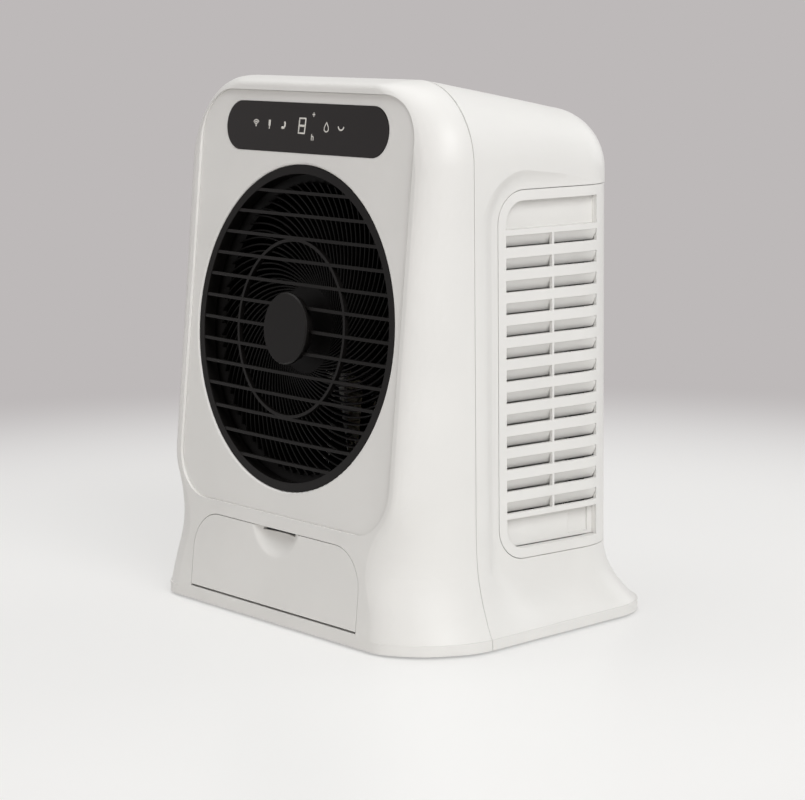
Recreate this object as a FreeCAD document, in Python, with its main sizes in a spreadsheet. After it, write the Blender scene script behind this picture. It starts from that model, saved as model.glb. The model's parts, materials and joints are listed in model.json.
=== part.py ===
import FreeCAD, Part
import math
import os
from types import SimpleNamespace

import Sketcher
from FreeCAD import Placement, Rotation, Vector

# Compact evaporative air cooler. Millimetres, +Z up, the front faces -Y, and the origin lies on
# the floor under the middle of the base. The pieces round the air outlet lean back with the front,
# so they are drawn in a leaning frame: x to the right, e up along the front, n outwards.

doc = FreeCAD.newDocument("air_cooler")

SIZES = (
    # The housing's outside.
    ("base_width", 289, "across the base rim, at the parting plane"),
    ("base_depth", 208, "front to back, over the base rim"),
    ("body_height", 333.5, "floor to the crest, at the parting plane"),
    ("front_lean", 6, "degrees that the front leans back"),
    ("parting_depth", 57, "base front to the plane where the two housings meet"),
    ("body_width", 260, "across the housings at the parting plane"),
    ("front_width", 223, "across the raised rim round the fascia"),
    ("waist_width", 183, "across the front under the fascia"),
    ("skirt_width", 200, "across the front at the top of the base rim"),
    ("rear_width", 243, "across the rear housing at its back corners"),
    ("rim_rear_width", 264, "across the base rim at its back corners"),
    ("rear_setback", 19, "base rim to back wall"),
    ("rear_corner", 38, "plan radius of the back corners"),
    ("front_corner", 54, "radius of the front rim's top corners"),
    ("top_fall", 3.2, "front rim's top below the crest"),
    ("top_slope", 11, "degrees that the rear housing's top falls"),
    ("top_round", 49, "radius between the top and the sides, at the crest"),
    ("back_round", 37, "radius between the top and the back"),
    ("front_round", 4.5, "radius of the front rim's outer edge"),
    ("toe_round", 20, "radius of the front's lower corners"),
    ("shoulder_height", 99, "floor to where the front rim is widest"),
    ("rim_gap", 1.5, "floor to the rim's underside"),
    ("rim_height", 8, "floor to the rim's top"),
    ("rim_wall", 4, "wall of the base rim"),
    ("flare_height", 56, "height of the flare above the rim"),
    ("rim_ledge", 0.8, "rim's reach beyond the flare"),
    ("wall", 2.6, "housing wall"),
    ("parting_groove", 0.5, "line between the two housings"),
    # Fascia, display and outlet.
    ("fascia_width", 216, "inset front panel"),
    ("fascia_height", 259, "inset front panel"),
    ("fascia_drop", 115, "outlet centre to the panel's lower edge"),
    ("fascia_corner", 30, "panel corner radius"),
    ("fascia_thick", 2.5, "panel thickness"),
    ("fascia_inset", 2, "panel face behind the rim"),
    ("seat_width", 3.2, "ledge that carries the panel"),
    ("seat_thick", 3, "ledge thickness"),
    ("fit_gap", 0.3, "clearance between seated pieces"),
    ("seam_gap", 0.1, "seam round the panel"),
    ("outlet_height", 182, "floor to the outlet centre"),
    ("outlet_radius", 100, "round air outlet"),
    ("outlet_round", 1.6, "soft edge of the outlet"),
    ("display_length", 164, "display window"),
    ("display_height", 30, "display window"),
    ("display_rise", 122, "outlet centre to the display's middle"),
    ("display_flange", 2, "flange that holds the window behind the panel"),
    ("display_proud", 0.3, "window face in front of the panel"),
    ("board_thick", 1.6, "circuit board"),
    ("board_margin", 4, "circuit board inside the window's flange"),
    # Front grille.
    ("ring_inner", 94.5, "inner radius of the grille's ring"),
    ("ring_lip", 0.8, "ring's face behind the panel face"),
    ("ring_depth", 9, "ring's reach behind the panel face"),
    ("ring_flange", 103, "radius of the ring's flange"),
    ("flange_thick", 2, "ring flange"),
    ("bar_pitch", 13.8, "spacing of the grille bars"),
    ("bar_height", 1.9, "height of a bar"),
    ("bar_depth", 3, "depth of a bar"),
    ("bar_count", 13, "bars"),
    ("dome_rise", 3.6, "bulge of the grille"),
    ("dome_apex", 2.5, "grille's middle in front of the panel face"),
    ("hub_seat", 0.5, "boss under the cap in front of the bars"),
    ("middle_ring", 54, "radius of the ring that ties the bars"),
    ("hub_radius", 22, "cap in the middle of the grille"),
    ("hub_thick", 2.5, "cap thickness"),
    # Spiral guard, shroud, fan and motor, along the fan's axis.
    ("shroud_radius", 97.3, "inside of the fan shroud"),
    ("shroud_wall", 2.5, "shroud wall"),
    ("shroud_end", 62, "shroud's back end behind the panel face"),
    ("shroud_flange", 104, "shroud flange radius"),
    ("ledge_inner", 94.5, "ledge that carries the spiral guard"),
    ("ledge_thick", 2, "ledge thickness"),
    ("guard_back", 16, "guard's back face behind the panel face"),
    ("guard_depth", 5, "depth of the guard's vanes"),
    ("guard_hub", 27, "guard hub radius"),
    ("guard_rim", 8, "width of the guard's tapered rim"),
    ("vane_count", 72, "spiral vanes"),
    ("vane_thick", 0.9, "vane thickness"),
    ("vane_sweep", 48, "degrees between a vane and the radius"),
    ("vane_root", 0.6, "vane's bite into the hub and the rim"),
    ("fan_radius", 91, "impeller tip"),
    ("fan_hub", 26, "impeller hub radius"),
    ("fan_nose", 4, "slope at the hub's front edge"),
    ("fan_front", 28, "impeller front behind the panel face"),
    ("fan_depth", 26, "impeller hub length"),
    ("blade_count", 7, "fan blades"),
    ("root_chord", 23, "blade width at the hub"),
    ("tip_chord", 52, "blade width at the tip"),
    ("blade_thick", 2, "blade thickness"),
    ("shaft_radius", 4, "motor shaft"),
    ("running_gap", 0.05, "radial running clearance"),
    ("nut_radius", 7, "impeller nut"),
    ("bracket_thick", 3, "motor bracket"),
    ("bracket_arm", 9, "width of a bracket arm"),
    ("arm_count", 4, "bracket arms"),
    ("motor_radius", 30, "motor can"),
    ("motor_length", 36, "motor can"),
    ("screw_radius", 2.4, "bracket screw head"),
    ("screw_head", 2, "bracket screw head height"),
    # Louvre cover and dust filter.
    ("louvre_width", 242, "across the cover's side panels"),
    ("louvre_bottom", 47, "floor to the cover's lower edge"),
    ("louvre_top", 268.5, "floor to the cover's upper edge"),
    ("louvre_front", 26, "parting plane to the cover's front edge"),
    ("louvre_thick", 2.5, "cover wall"),
    ("louvre_corner", 20, "radius of the side panels' front corners"),
    ("louvre_border", 6.2, "border round the slotted window"),
    ("louvre_ledge", 2.8, "housing ledge behind the cover"),
    ("cover_gap", 0.4, "clearance round the cover"),
    ("window_length", 74, "slotted window, front to back"),
    ("slot_count", 13, "louvre slots"),
    ("slot_pitch", 13.3, "louvre spacing"),
    ("slot_height", 7, "open height of a slot"),
    ("first_slot", 75.4, "floor to the lowest slot's lower edge"),
    ("rib_thick", 1.6, "upright rib across the slots"),
    ("back_window", 156, "slotted window across the back"),
    ("back_columns", 4, "slot columns across the back"),
    ("blade_reach", 3, "inward reach of a louvre blade"),
    ("blade_drop", 7, "fall of a louvre blade"),
    ("blade_wall", 1.2, "louvre blade thickness"),
    ("pocket_depth", 6, "finger recess above and below the slots"),
    ("latch_length", 16, "latch hollow in the lower recess"),
    ("latch_margin", 4, "lower recess behind the latch hollow"),
    ("pocket_gap", 3.5, "bar between a recess and the next slot"),
    ("sweep_width", 20, "width of the housing's sweep round the cover"),
    ("sweep_run", 50, "how far back the sweep runs out in the flare"),
    ("post_clear", 8, "cover's ledge to the pad's posts"),
    ("filter_depth", 10, "dust filter frame"),
    ("filter_rim", 3, "dust filter frame wall"),
    ("filter_mesh", 1, "dust filter mesh thickness"),
    ("filter_columns", 8, "mesh openings across"),
    ("filter_rows", 10, "mesh openings up"),
    # Water: pad, tray, sump, pump, hose and tank.
    ("pad_width", 190, "cooling pad"),
    ("pad_height", 176, "cooling pad"),
    ("pad_thick", 24, "cooling pad"),
    ("pad_bottom", 74, "floor to the pad"),
    ("pad_back", 8, "tank's back end to the pad's back face"),
    ("pad_wall", 3, "pad frame wall"),
    ("pad_lip", 4, "pad frame's lip over the pad's edge"),
    ("bulkhead_rib", 6, "housing ribs that carry the pad frame"),
    ("tray_height", 12, "water tray"),
    ("tray_wall", 2, "water tray wall"),
    ("drip_count", 15, "drip holes in the tray"),
    ("drip_radius", 1.2, "drip hole"),
    ("sump_width", 66, "sump"),
    ("sump_depth", 28, "sump"),
    ("sump_height", 40, "sump wall height"),
    ("sump_wall", 2, "sump wall"),
    ("pump_length", 42, "pump body"),
    ("pump_depth", 20, "pump body"),
    ("pump_height", 26, "pump body"),
    ("pump_round", 4, "pump's upright edges"),
    ("intake_count", 5, "slots of the pump's intake"),
    ("intake_width", 1.6, "slot of the pump's intake"),
    ("intake_height", 12, "slot of the pump's intake"),
    ("hose_radius", 4, "pump hose"),
    ("hose_bore", 2.6, "pump hose bore radius"),
    ("hose_bend", 14, "hose bend radius"),
    ("tank_width", 152, "water tank"),
    ("tank_length", 130, "water tank"),
    ("tank_bottom", 12, "floor to the tank's underside"),
    ("tank_top", 51, "floor to the tank's rim"),
    ("tank_wall", 2.2, "tank wall"),
    ("tank_setback", 18, "base front to the tank's front wall"),
    ("tank_corner", 8, "tank corner radius"),
    ("valve_radius", 6, "tank outlet"),
    ("valve_rise", 12, "tank underside to the outlet's middle"),
    ("valve_gap", 0.4, "clearance round the outlet"),
    ("drawer_width", 172, "drawer front"),
    ("drawer_bottom", 3.1, "base rim to the drawer front, along the front"),
    ("drawer_top", 51.1, "base rim to the drawer front's top, along the front"),
    ("drawer_corner", 25, "drawer front's top corners"),
    ("drawer_thick", 3, "drawer front"),
    ("drawer_gap", 0.4, "gap round the drawer front"),
    ("drawer_sill", 1.3, "gap under the drawer front"),
    ("scoop_radius", 45, "finger scoop"),
    ("scoop_depth", 7.5, "finger scoop at its deepest"),
    ("scoop_rise", 8, "scoop's middle above the drawer front"),
    ("scoop_soft", 5, "radius of the scoop's edge"),
    ("scoop_wall", 2.4, "wall behind the scoop"),
    ("notch_width", 33, "notch over the scoop"),
    ("notch_height", 2.2, "notch over the scoop"),
    ("rib_place", 60, "middle of the drawer to its ribs"),
    ("rib_width", 4, "drawer front's ribs"),
    # Base.
    ("plate_bottom", 3, "floor to the base plate"),
    ("plate_thick", 3, "base plate"),
    ("rail_width", 6, "rails under the tank"),
    ("rail_place", 66, "middle of the base to a rail"),
    ("foot_radius", 10, "rubber foot"),
    ("foot_side", 94, "middle of the base to a foot, sideways"),
    ("foot_front", 68, "middle of the base to the front feet"),
    ("foot_back", 72, "middle of the base to the back feet"),
    ("base_screw", 3.5, "base screw head radius"),
    ("screw_inset", 22, "foot to the nearest base screw"),
    ("rail_setback", 10, "tank's front to the rails"),
    ("inlet_radius", 7, "cord inlet"),
    ("inlet_side", 70, "middle of the base to the cord inlet"),
    ("inlet_rise", 22, "floor to the cord inlet"),
    ("inlet_setback", 2, "back wall to the inlet's inner end"),
)


class Size:
    """A length together with the spreadsheet expression that gives it."""

    def __init__(self, text, value):
        self.text = text
        self.value = float(value)

    def joined(self, sign, other, value, swap=False):
        left, right = (as_size(other), self) if swap else (self, as_size(other))
        return Size(f"({left.text} {sign} {right.text})", value)

    def __add__(self, other):
        return self.joined("+", other, self.value + float(other))

    def __radd__(self, other):
        return self.joined("+", other, float(other) + self.value, True)

    def __sub__(self, other):
        return self.joined("-", other, self.value - float(other))

    def __rsub__(self, other):
        return self.joined("-", other, float(other) - self.value, True)

    def __mul__(self, other):
        return self.joined("*", other, self.value * float(other))

    def __rmul__(self, other):
        return self.joined("*", other, float(other) * self.value, True)

    def __truediv__(self, other):
        return self.joined("/", other, self.value / float(other))

    def __neg__(self):
        return Size(f"(0 - {self.text})", -self.value)

    def __float__(self):
        return self.value


def as_size(number):
    return number if isinstance(number, Size) else Size(f"{number:g}", number)


def tangent(angle):
    return Size(f"tan({angle.text} * 1 deg)", math.tan(math.radians(float(angle))))


def cosine(angle):
    return Size(f"cos({angle.text} * 1 deg)", math.cos(math.radians(float(angle))))


sheet = doc.addObject("Spreadsheet::Sheet", "Sizes")
for row, (alias, number, note) in enumerate(SIZES, start=1):
    sheet.set(f"A{row}", alias)
    sheet.set(f"B{row}", str(number))
    sheet.setAlias(f"B{row}", alias)
    sheet.set(f"C{row}", note)
doc.recompute()
S = SimpleNamespace(**{alias: Size(f"Sizes.{alias}", sheet.get(alias)) for alias, _, _ in SIZES})

# Places that several pieces share.
front_y = -S.base_depth / 2
back_y = S.base_depth / 2
parting_y = front_y + S.parting_depth
wall_y = back_y - S.rear_setback
outlet_rise = S.outlet_height - S.rim_height
face_y = front_y + outlet_rise * tangent(S.front_lean) + S.fascia_inset / cosine(S.front_lean)
flare_top = S.rim_height + S.flare_height
fascia_middle = S.fascia_height / 2 - S.fascia_drop
louvre_y = parting_y + S.louvre_front
window_y = louvre_y + S.louvre_border
window_bottom = S.louvre_bottom + S.louvre_border
window_top = S.louvre_top - S.louvre_border
cover_inside_y = wall_y - S.louvre_thick
tank_y = front_y + S.tank_setback
tank_back_y = tank_y + S.tank_length
plate_top = S.plate_bottom + S.plate_thick
pad_back_y = tank_back_y + S.pad_back
pad_y = pad_back_y - S.pad_thick
sump_y = tank_back_y + S.valve_radius
shroud_outer = S.shroud_radius + S.shroud_wall
bracket_back = S.shroud_end + S.bracket_thick
cover_foot = S.louvre_bottom - S.cover_gap
sweep_y = louvre_y - S.sweep_width

sub_parts = []


def keep(obj, label):
    """Gives a finished sub-part its name and puts it on the list that is written out."""
    obj.Label = label
    sub_parts.append(obj)
    return obj


def bind(obj, prop, size):
    obj.setExpression(prop, as_size(size).text)


def place(obj, x=None, y=None, z=None):
    """Ties an object's position to the sheet."""
    for axis, size in (("x", x), ("y", y), ("z", z)):
        if size is not None:
            bind(obj, f"Placement.Base.{axis}", size)


def lean(obj, y=face_y, z=S.outlet_height):
    """Stands a piece that was drawn in the leaning frame against the front."""
    obj.Placement = leaning_placement(y, z)
    bind(obj, "Placement.Rotation.Angle", 90 - S.front_lean)
    place(obj, y=y, z=z)


def leaning_placement(y=face_y, z=S.outlet_height):
    return Placement(Vector(0, float(y), float(z)), Rotation(Vector(1, 0, 0), 90 - float(S.front_lean)))


def feature(shape, label, placement=None):
    """A sub-part whose form neither sketches nor primitives fit."""
    obj = doc.addObject("Part::Feature", label)
    obj.Shape = shape
    if placement is not None:
        obj.Placement = placement
    return keep(obj, label)


def new_body(label):
    return keep(doc.addObject("PartDesign::Body", label), label)


def new_sketch(body, name, role="XY_Plane", offset=None):
    sketch = body.newObject("Sketcher::SketchObject", name)
    sketch.AttachmentSupport = [(next(o for o in body.Origin.OriginFeatures if o.Role == role), "")]
    sketch.MapMode = "FlatFace"
    if offset is not None:
        bind(sketch, "AttachmentOffset.Base.z", offset)
    return sketch


def fix(sketch, kind, geo, pos, size):
    """Holds one coordinate of a point, measured from the sketch's origin."""
    size = as_size(size)
    if abs(size.value) < 1e-9:
        axis = -2 if kind == "DistanceX" else -1
        sketch.addConstraint(Sketcher.Constraint("PointOnObject", geo, pos, axis))
    elif size.value > 0:
        index = sketch.addConstraint(Sketcher.Constraint(kind, -1, 1, geo, pos, size.value))
        sketch.setExpression(f"Constraints[{index}]", size.text)
    else:
        index = sketch.addConstraint(Sketcher.Constraint(kind, geo, pos, -1, 1, -size.value))
        sketch.setExpression(f"Constraints[{index}]", (-size).text)


def draw_polygon(sketch, points):
    """A closed outline of straight lines through points whose coordinates are sizes."""
    corners = [Vector(float(x), float(y), 0) for x, y in points]
    lines = [
        sketch.addGeometry(Part.LineSegment(a, b), False)
        for a, b in zip(corners, corners[1:] + corners[:1])
    ]
    for line, following in zip(lines, lines[1:] + lines[:1]):
        sketch.addConstraint(Sketcher.Constraint("Coincident", line, 2, following, 1))
    for line, (x, y) in zip(lines, points):
        fix(sketch, "DistanceX", line, 1, x)
        fix(sketch, "DistanceY", line, 1, y)


def draw_rectangle(sketch, width, height, x=0, y=0):
    left, right = x - as_size(width) / 2, x + as_size(width) / 2
    low, high = y - as_size(height) / 2, y + as_size(height) / 2
    draw_polygon(sketch, [(left, low), (right, low), (right, high), (left, high)])


def draw_circle(sketch, radius, x=0, y=0):
    middle = Vector(float(x), float(y), 0)
    circle = sketch.addGeometry(Part.Circle(middle, Vector(0, 0, 1), float(radius)), False)
    index = sketch.addConstraint(Sketcher.Constraint("Radius", circle, float(radius)))
    bind(sketch, f"Constraints[{index}]", radius)
    fix(sketch, "DistanceX", circle, 3, x)
    fix(sketch, "DistanceY", circle, 3, y)


def draw_arc(sketch, middle, radius, start, end):
    circle = Part.Circle(Vector(middle[0], middle[1], 0), Vector(0, 0, 1), radius)
    return sketch.addGeometry(Part.ArcOfCircle(circle, math.radians(start), math.radians(end)), False)


def draw_round_rectangle(sketch, width, height, radius, y=0):
    """A rectangle with round corners, centred on the sketch's Y axis at height y."""
    half_x, half_y, r, mid = float(width) / 2, float(height) / 2, float(radius), float(y)
    corners = ((1, -1, 270), (1, 1, 0), (-1, 1, 90), (-1, -1, 180))
    arcs = []
    for across, up, start in corners:
        middle = (across * (half_x - r), mid + up * (half_y - r))
        arcs.append(draw_arc(sketch, middle, r, start, start + 90))
    lines = []
    for number in range(4):
        a = sketch.getPoint(arcs[number], 2)
        b = sketch.getPoint(arcs[(number + 1) % 4], 1)
        line = sketch.addGeometry(Part.LineSegment(a, b), False)
        sketch.addConstraint(Sketcher.Constraint("Horizontal" if number % 2 else "Vertical", line))
        lines.append(line)
    for number in range(4):
        sketch.addConstraint(Sketcher.Constraint("Tangent", arcs[number], 2, lines[number], 1))
        sketch.addConstraint(Sketcher.Constraint("Tangent", lines[number], 2, arcs[(number + 1) % 4], 1))
    for arc in arcs[1:]:
        sketch.addConstraint(Sketcher.Constraint("Equal", arcs[0], arc))
    index = sketch.addConstraint(Sketcher.Constraint("Radius", arcs[0], r))
    bind(sketch, f"Constraints[{index}]", radius)
    fix(sketch, "DistanceX", lines[0], 1, width / 2)
    fix(sketch, "DistanceX", lines[2], 1, -(width / 2))
    fix(sketch, "DistanceY", lines[1], 1, y + height / 2)
    fix(sketch, "DistanceY", lines[3], 1, y - height / 2)


def draw_pill(sketch, length, height, y=0):
    """A stadium with full round ends, centred on the sketch's Y axis at height y."""
    r, mid, half = float(height) / 2, float(y), (float(length) - float(height)) / 2
    right = draw_arc(sketch, (half, mid), r, -90, 90)
    left = draw_arc(sketch, (-half, mid), r, 90, 270)
    upper = sketch.addGeometry(Part.LineSegment(Vector(half, mid + r, 0), Vector(-half, mid + r, 0)), False)
    lower = sketch.addGeometry(Part.LineSegment(Vector(-half, mid - r, 0), Vector(half, mid - r, 0)), False)
    for first, second in ((right, upper), (upper, left), (left, lower), (lower, right)):
        sketch.addConstraint(Sketcher.Constraint("Tangent", first, 2, second, 1))
    sketch.addConstraint(Sketcher.Constraint("Horizontal", upper))
    sketch.addConstraint(Sketcher.Constraint("Horizontal", lower))
    index = sketch.addConstraint(Sketcher.Constraint("Radius", right, r))
    bind(sketch, f"Constraints[{index}]", height / 2)
    fix(sketch, "DistanceX", right, 3, (length - height) / 2)
    fix(sketch, "DistanceX", left, 3, -((length - height) / 2))
    fix(sketch, "DistanceY", right, 3, y)


def pad(body, sketch, length, symmetric=False, reverse=False):
    made = body.newObject("PartDesign::Pad", f"{sketch.Name}_pad")
    made.Profile = sketch
    made.SideType = "Symmetric" if symmetric else "One side"
    made.Reversed = reverse
    bind(made, "Length", length)
    doc.recompute()
    return made


def pocket(body, sketch, length, symmetric=False, reverse=False):
    """Cuts a sketch out of a body, and stops the build if nothing was cut."""
    before = body.Shape.Volume
    made = body.newObject("PartDesign::Pocket", f"{sketch.Name}_pocket")
    made.Profile = sketch
    made.SideType = "Symmetric" if symmetric else "One side"
    made.Reversed = reverse
    bind(made, "Length", length)
    doc.recompute()
    if body.Shape.Volume > before - 1e-3:
        raise ValueError(f"{made.Name} cuts nothing")
    return made


def round_edges(body, base, edges, radius):
    made = body.newObject("PartDesign::Fillet", f"{base.Name}_round")
    made.Base = (base, edges)
    bind(made, "Radius", radius)
    doc.recompute()
    return made


def revolve(label, points):
    """A body turned about its own Z axis from an outline of (radius, height) points."""
    body = new_body(label)
    sketch = new_sketch(body, f"{label}_profile", "XZ_Plane")
    draw_polygon(sketch, points)
    turned = body.newObject("PartDesign::Revolution", f"{label}_turn")
    turned.Profile = sketch
    turned.ReferenceAxis = (sketch, ["V_Axis"])
    turned.Angle = 360
    doc.recompute()
    return body


def edge_names(shape, wanted):
    return [f"Edge{number}" for number, edge in enumerate(shape.Edges, start=1) if wanted(edge)]


# Housing outlines.

def front_plane_y(z):
    """Where the leaning front plane lies at a height. It starts at the top of the base rim."""
    return float(front_y) + (z - float(S.rim_height)) * math.tan(math.radians(float(S.front_lean)))


def flare_share(z):
    """How far out the flare has come at a height: a parabola that ends upright at its top."""
    return max(0.0, (float(flare_top) - z) / float(S.flare_height)) ** 2


# The front corners in plan: shares of the way back to the parting plane, each with the share of
# the way out that the side has then come.
PLAN_CURVE = ((0.0, 0.0), (0.12, 0.42), (0.34, 0.72), (0.65, 0.93), (1.0, 1.0))
# How far the front's side has come out half-way between its waist and its shoulder.
WAIST_TURN = 0.42


def front_section(share, widening, inset=0.0):
    """One upright outline of the front housing, at a share of the way back to the parting plane."""
    low, third, shoulder = float(S.rim_height), float(S.flare_height) / 3, float(S.shoulder_height)
    bend = low + 2 * third
    levels = (low, low + third, bend, (bend + shoulder) / 2, shoulder)
    skirt, waist, side = float(S.skirt_width) / 2, float(S.waist_width) / 2, float(S.front_width) / 2
    front = (skirt, skirt + (waist - skirt) / 3, waist, waist + WAIST_TURN * (side - waist), side)
    body = float(S.body_width) / 2
    spread = float(S.base_width) / 2 - float(S.rim_ledge) - body

    def between(start, end):
        return start + (end - start) * widening - inset

    halves = [between(x, body + spread * flare_share(z)) for x, z in zip(front, levels)]
    top = between(float(S.body_height) - float(S.top_fall), float(S.body_height))
    half, corner = halves[-1], between(float(S.front_corner), float(S.top_round))
    slope = (4 * halves[1] - 3 * halves[0] - halves[2]) / (2 * third)

    def at(x, z):
        return Vector(x, front_plane_y(z) + (float(parting_y) - front_plane_y(z)) * share, z)

    def side_curve(sign):
        points = [at(sign * x, z) for x, z in zip(halves, levels)]
        leave = at(sign * (halves[0] + slope), low + 1) - points[0]
        arrive = at(sign * half, shoulder + 1) - points[-1]
        curve = Part.BSplineCurve()
        curve.interpolate(points, InitialTangent=leave, FinalTangent=arrive)
        return curve.toShape()

    slant = corner * (1 - math.sqrt(0.5))
    edges = [
        Part.LineSegment(at(-halves[0], low), at(halves[0], low)).toShape(),
        side_curve(1),
        Part.LineSegment(at(half, shoulder), at(half, top - corner)).toShape(),
        Part.Arc(at(half, top - corner), at(half - slant, top - slant), at(half - corner, top)).toShape(),
        Part.LineSegment(at(half - corner, top), at(corner - half, top)).toShape(),
        Part.Arc(at(corner - half, top), at(slant - half, top - slant), at(-half, top - corner)).toShape(),
        Part.LineSegment(at(-half, top - corner), at(-half, shoulder)).toShape(),
        side_curve(-1),
    ]
    return Part.Wire(Part.__sortEdges__(edges))


def mirrored(point):
    return Vector(-point.x, point.y, point.z)


def tangent_point(outside, middle, radius):
    """Where a line from a point touches a circle on its +X side."""
    dx, dy = outside.x - middle.x, outside.y - middle.y
    reach = math.hypot(dx, dy)
    turn = math.atan2(dy, dx) + math.acos(radius / reach)
    return Vector(middle.x + radius * math.cos(turn), middle.y + radius * math.sin(turn), outside.z)


def back_edges(start, middle, radius):
    """From a point on the right side round both back corners to its mirror on the left."""
    touch = tangent_point(start, middle, radius)
    turn = (math.atan2(touch.y - middle.y, touch.x - middle.x) + math.pi / 2) / 2
    halfway = middle + Vector(radius * math.cos(turn), radius * math.sin(turn), 0)
    end = middle + Vector(0, radius, 0)
    return [
        Part.LineSegment(start, touch).toShape(),
        Part.Arc(touch, halfway, end).toShape(),
        Part.LineSegment(end, mirrored(end)).toShape(),
        Part.Arc(mirrored(end), mirrored(halfway), mirrored(touch)).toShape(),
        Part.LineSegment(mirrored(touch), mirrored(start)).toShape(),
    ]


def rear_section(z, inset=0.0):
    """One level outline of the rear housing above the flare."""
    radius = float(S.rear_corner) - inset
    middle = Vector(float(S.rear_width) / 2 - inset - radius, float(wall_y) - inset - radius, z)
    first = Vector(float(S.body_width) / 2 - inset, float(parting_y), z)
    return Part.Wire([Part.LineSegment(mirrored(first), first).toShape()] + back_edges(first, middle, radius))


def sweep_poles(first, along, inner, run):
    """The four poles of the soft step from the housing's side in to the plane of the louvre cover."""
    reach = (inner.y - first.y) / 2
    return [first, first + along * reach, inner - run * reach, inner]


def bezier(poles):
    curve = Part.BezierCurve()
    curve.setPoles(poles)
    return curve.toShape()


def bow(*points):
    """A smooth curve through points."""
    curve = Part.BSplineCurve()
    curve.interpolate(points)
    return curve.toShape()


# How much steeper than the side the step starts.
SWEEP_DIP = 0.08


def foot_section(z, inset=0.0):
    """One level outline of the rear flare, in which the step beside the cover runs out downwards."""
    ledge, face, radius = float(S.rim_ledge), float(S.louvre_width) / 2, float(S.rear_corner) - inset
    sink = max(0.0, (float(cover_foot) - z) / (float(cover_foot) - float(S.rim_height))) ** 2
    body = float(S.body_width) / 2
    half = body + (float(S.base_width) / 2 - ledge - body) * flare_share(z) - inset
    rear, foot = float(S.rear_width) / 2, float(S.rim_rear_width) / 2 - ledge
    back = float(wall_y) + (float(S.rear_setback) - ledge) * sink - inset
    middle = Vector(face + (foot - face) * sink - inset - radius, back - radius, z)
    first = Vector(half, float(parting_y), z)
    side_middle = Vector(rear + (foot - rear) * sink - inset - radius, back - radius, z)
    side = tangent_point(first, side_middle, radius) - first
    side = side * (1 / side.y)
    start = first + side * (float(sweep_y) - first.y)
    end_y = float(louvre_y) + float(S.sweep_run) * math.sqrt(sink)
    plain_x = first.x + side.x * (end_y - first.y)
    inner = Vector((face - inset) * (1 - sink) + plain_x * sink, end_y, z)
    run = tangent_point(inner, middle, radius) - inner
    run = run * (1 / run.y)
    dip = Vector(-SWEEP_DIP * (1 - sink), 0, 0)
    poles = sweep_poles(start, side + dip, inner, run)
    edges = [
        Part.LineSegment(mirrored(first), first).toShape(),
        Part.LineSegment(first, start).toShape(),
        bezier(poles),
        *back_edges(inner, middle, radius),
        bezier([mirrored(pole) for pole in reversed(poles)]),
        Part.LineSegment(mirrored(start), mirrored(first)).toShape(),
    ]
    return Part.Wire(edges)


def prism(wire, height):
    return Part.Face(wire).extrude(Vector(0, 0, height))


def rim_outline(z, inset):
    """The base rim in plan: soft front corners, tapering sides and round back corners."""
    half, start, front = float(S.base_width) / 2 - inset, float(parting_y), float(front_y) + inset
    straight = float(S.skirt_width) / 2
    radius = float(S.rear_corner) - inset
    middle = Vector(float(S.rim_rear_width) / 2 - inset - radius, float(back_y) - inset - radius, z)
    first = Vector(half, start, z)
    corner = [
        Vector(straight + (half - straight) * out, front + (start - front) * share, z)
        for share, out in PLAN_CURVE
    ]

    def front_corner(points, leave, arrive):
        curve = Part.BSplineCurve()
        curve.interpolate(points, InitialTangent=leave, FinalTangent=arrive)
        return curve.toShape()

    edges = [
        Part.LineSegment(mirrored(corner[0]), corner[0]).toShape(),
        front_corner(corner, Vector(1, 0, 0), Vector(0, 1, 0)),
        *back_edges(first, middle, radius),
        front_corner([mirrored(p) for p in reversed(corner)], Vector(0, -1, 0), Vector(1, 0, 0)),
    ]
    return Part.Wire(edges)


# Tools that cut and join the housings.

def round_rectangle(width, height, radius, middle, level):
    """A flat outline with round corners, centred on x = 0."""
    half, low, high = width / 2, middle - height / 2, middle + height / 2
    slant = radius * (1 - math.sqrt(0.5))
    corners = ((1, low), (1, high), (-1, high), (-1, low))
    edges, ends = [], []
    for across, y in corners:
        x, up = across * half, 1 if y == low else -1
        along = Vector(x - across * radius, y, level)
        beside = Vector(x, y + up * radius, level)
        arc_middle = Vector(x - across * slant, y + up * slant, level)
        first, last = (along, beside) if across * up > 0 else (beside, along)
        edges.append(Part.Arc(first, arc_middle, last).toShape())
        ends.append((first, last))
    for number, (_, last) in enumerate(ends):
        edges.append(Part.LineSegment(last, ends[(number + 1) % 4][0]).toShape())
    return Part.Wire(Part.__sortEdges__(edges))


def arch(half, low, high, radius, level):
    """A flat outline with a straight foot and two round top corners."""
    slant = radius * (1 - math.sqrt(0.5))
    edges = [
        Part.LineSegment(Vector(-half, low, level), Vector(half, low, level)).toShape(),
        Part.LineSegment(Vector(half, low, level), Vector(half, high - radius, level)).toShape(),
        Part.Arc(
            Vector(half, high - radius, level),
            Vector(half - slant, high - slant, level),
            Vector(half - radius, high, level),
        ).toShape(),
        Part.LineSegment(Vector(half - radius, high, level), Vector(radius - half, high, level)).toShape(),
        Part.Arc(
            Vector(radius - half, high, level),
            Vector(slant - half, high - slant, level),
            Vector(-half, high - radius, level),
        ).toShape(),
        Part.LineSegment(Vector(-half, high - radius, level), Vector(-half, low, level)).toShape(),
    ]
    return Part.Wire(edges)


def leaned(shape, y=face_y, z=S.outlet_height):
    moved = shape.copy()
    moved.Placement = leaning_placement(y, z)
    return moved


def block(x0, x1, y0, y1, z0, z1):
    """A box between two corners, given as numbers or sizes."""
    low = Vector(float(x0), float(y0), float(z0))
    high = Vector(float(x1), float(y1), float(z1))
    return Part.makeBox(high.x - low.x, high.y - low.y, high.z - low.z, low)


FAR = 500.0


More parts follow.
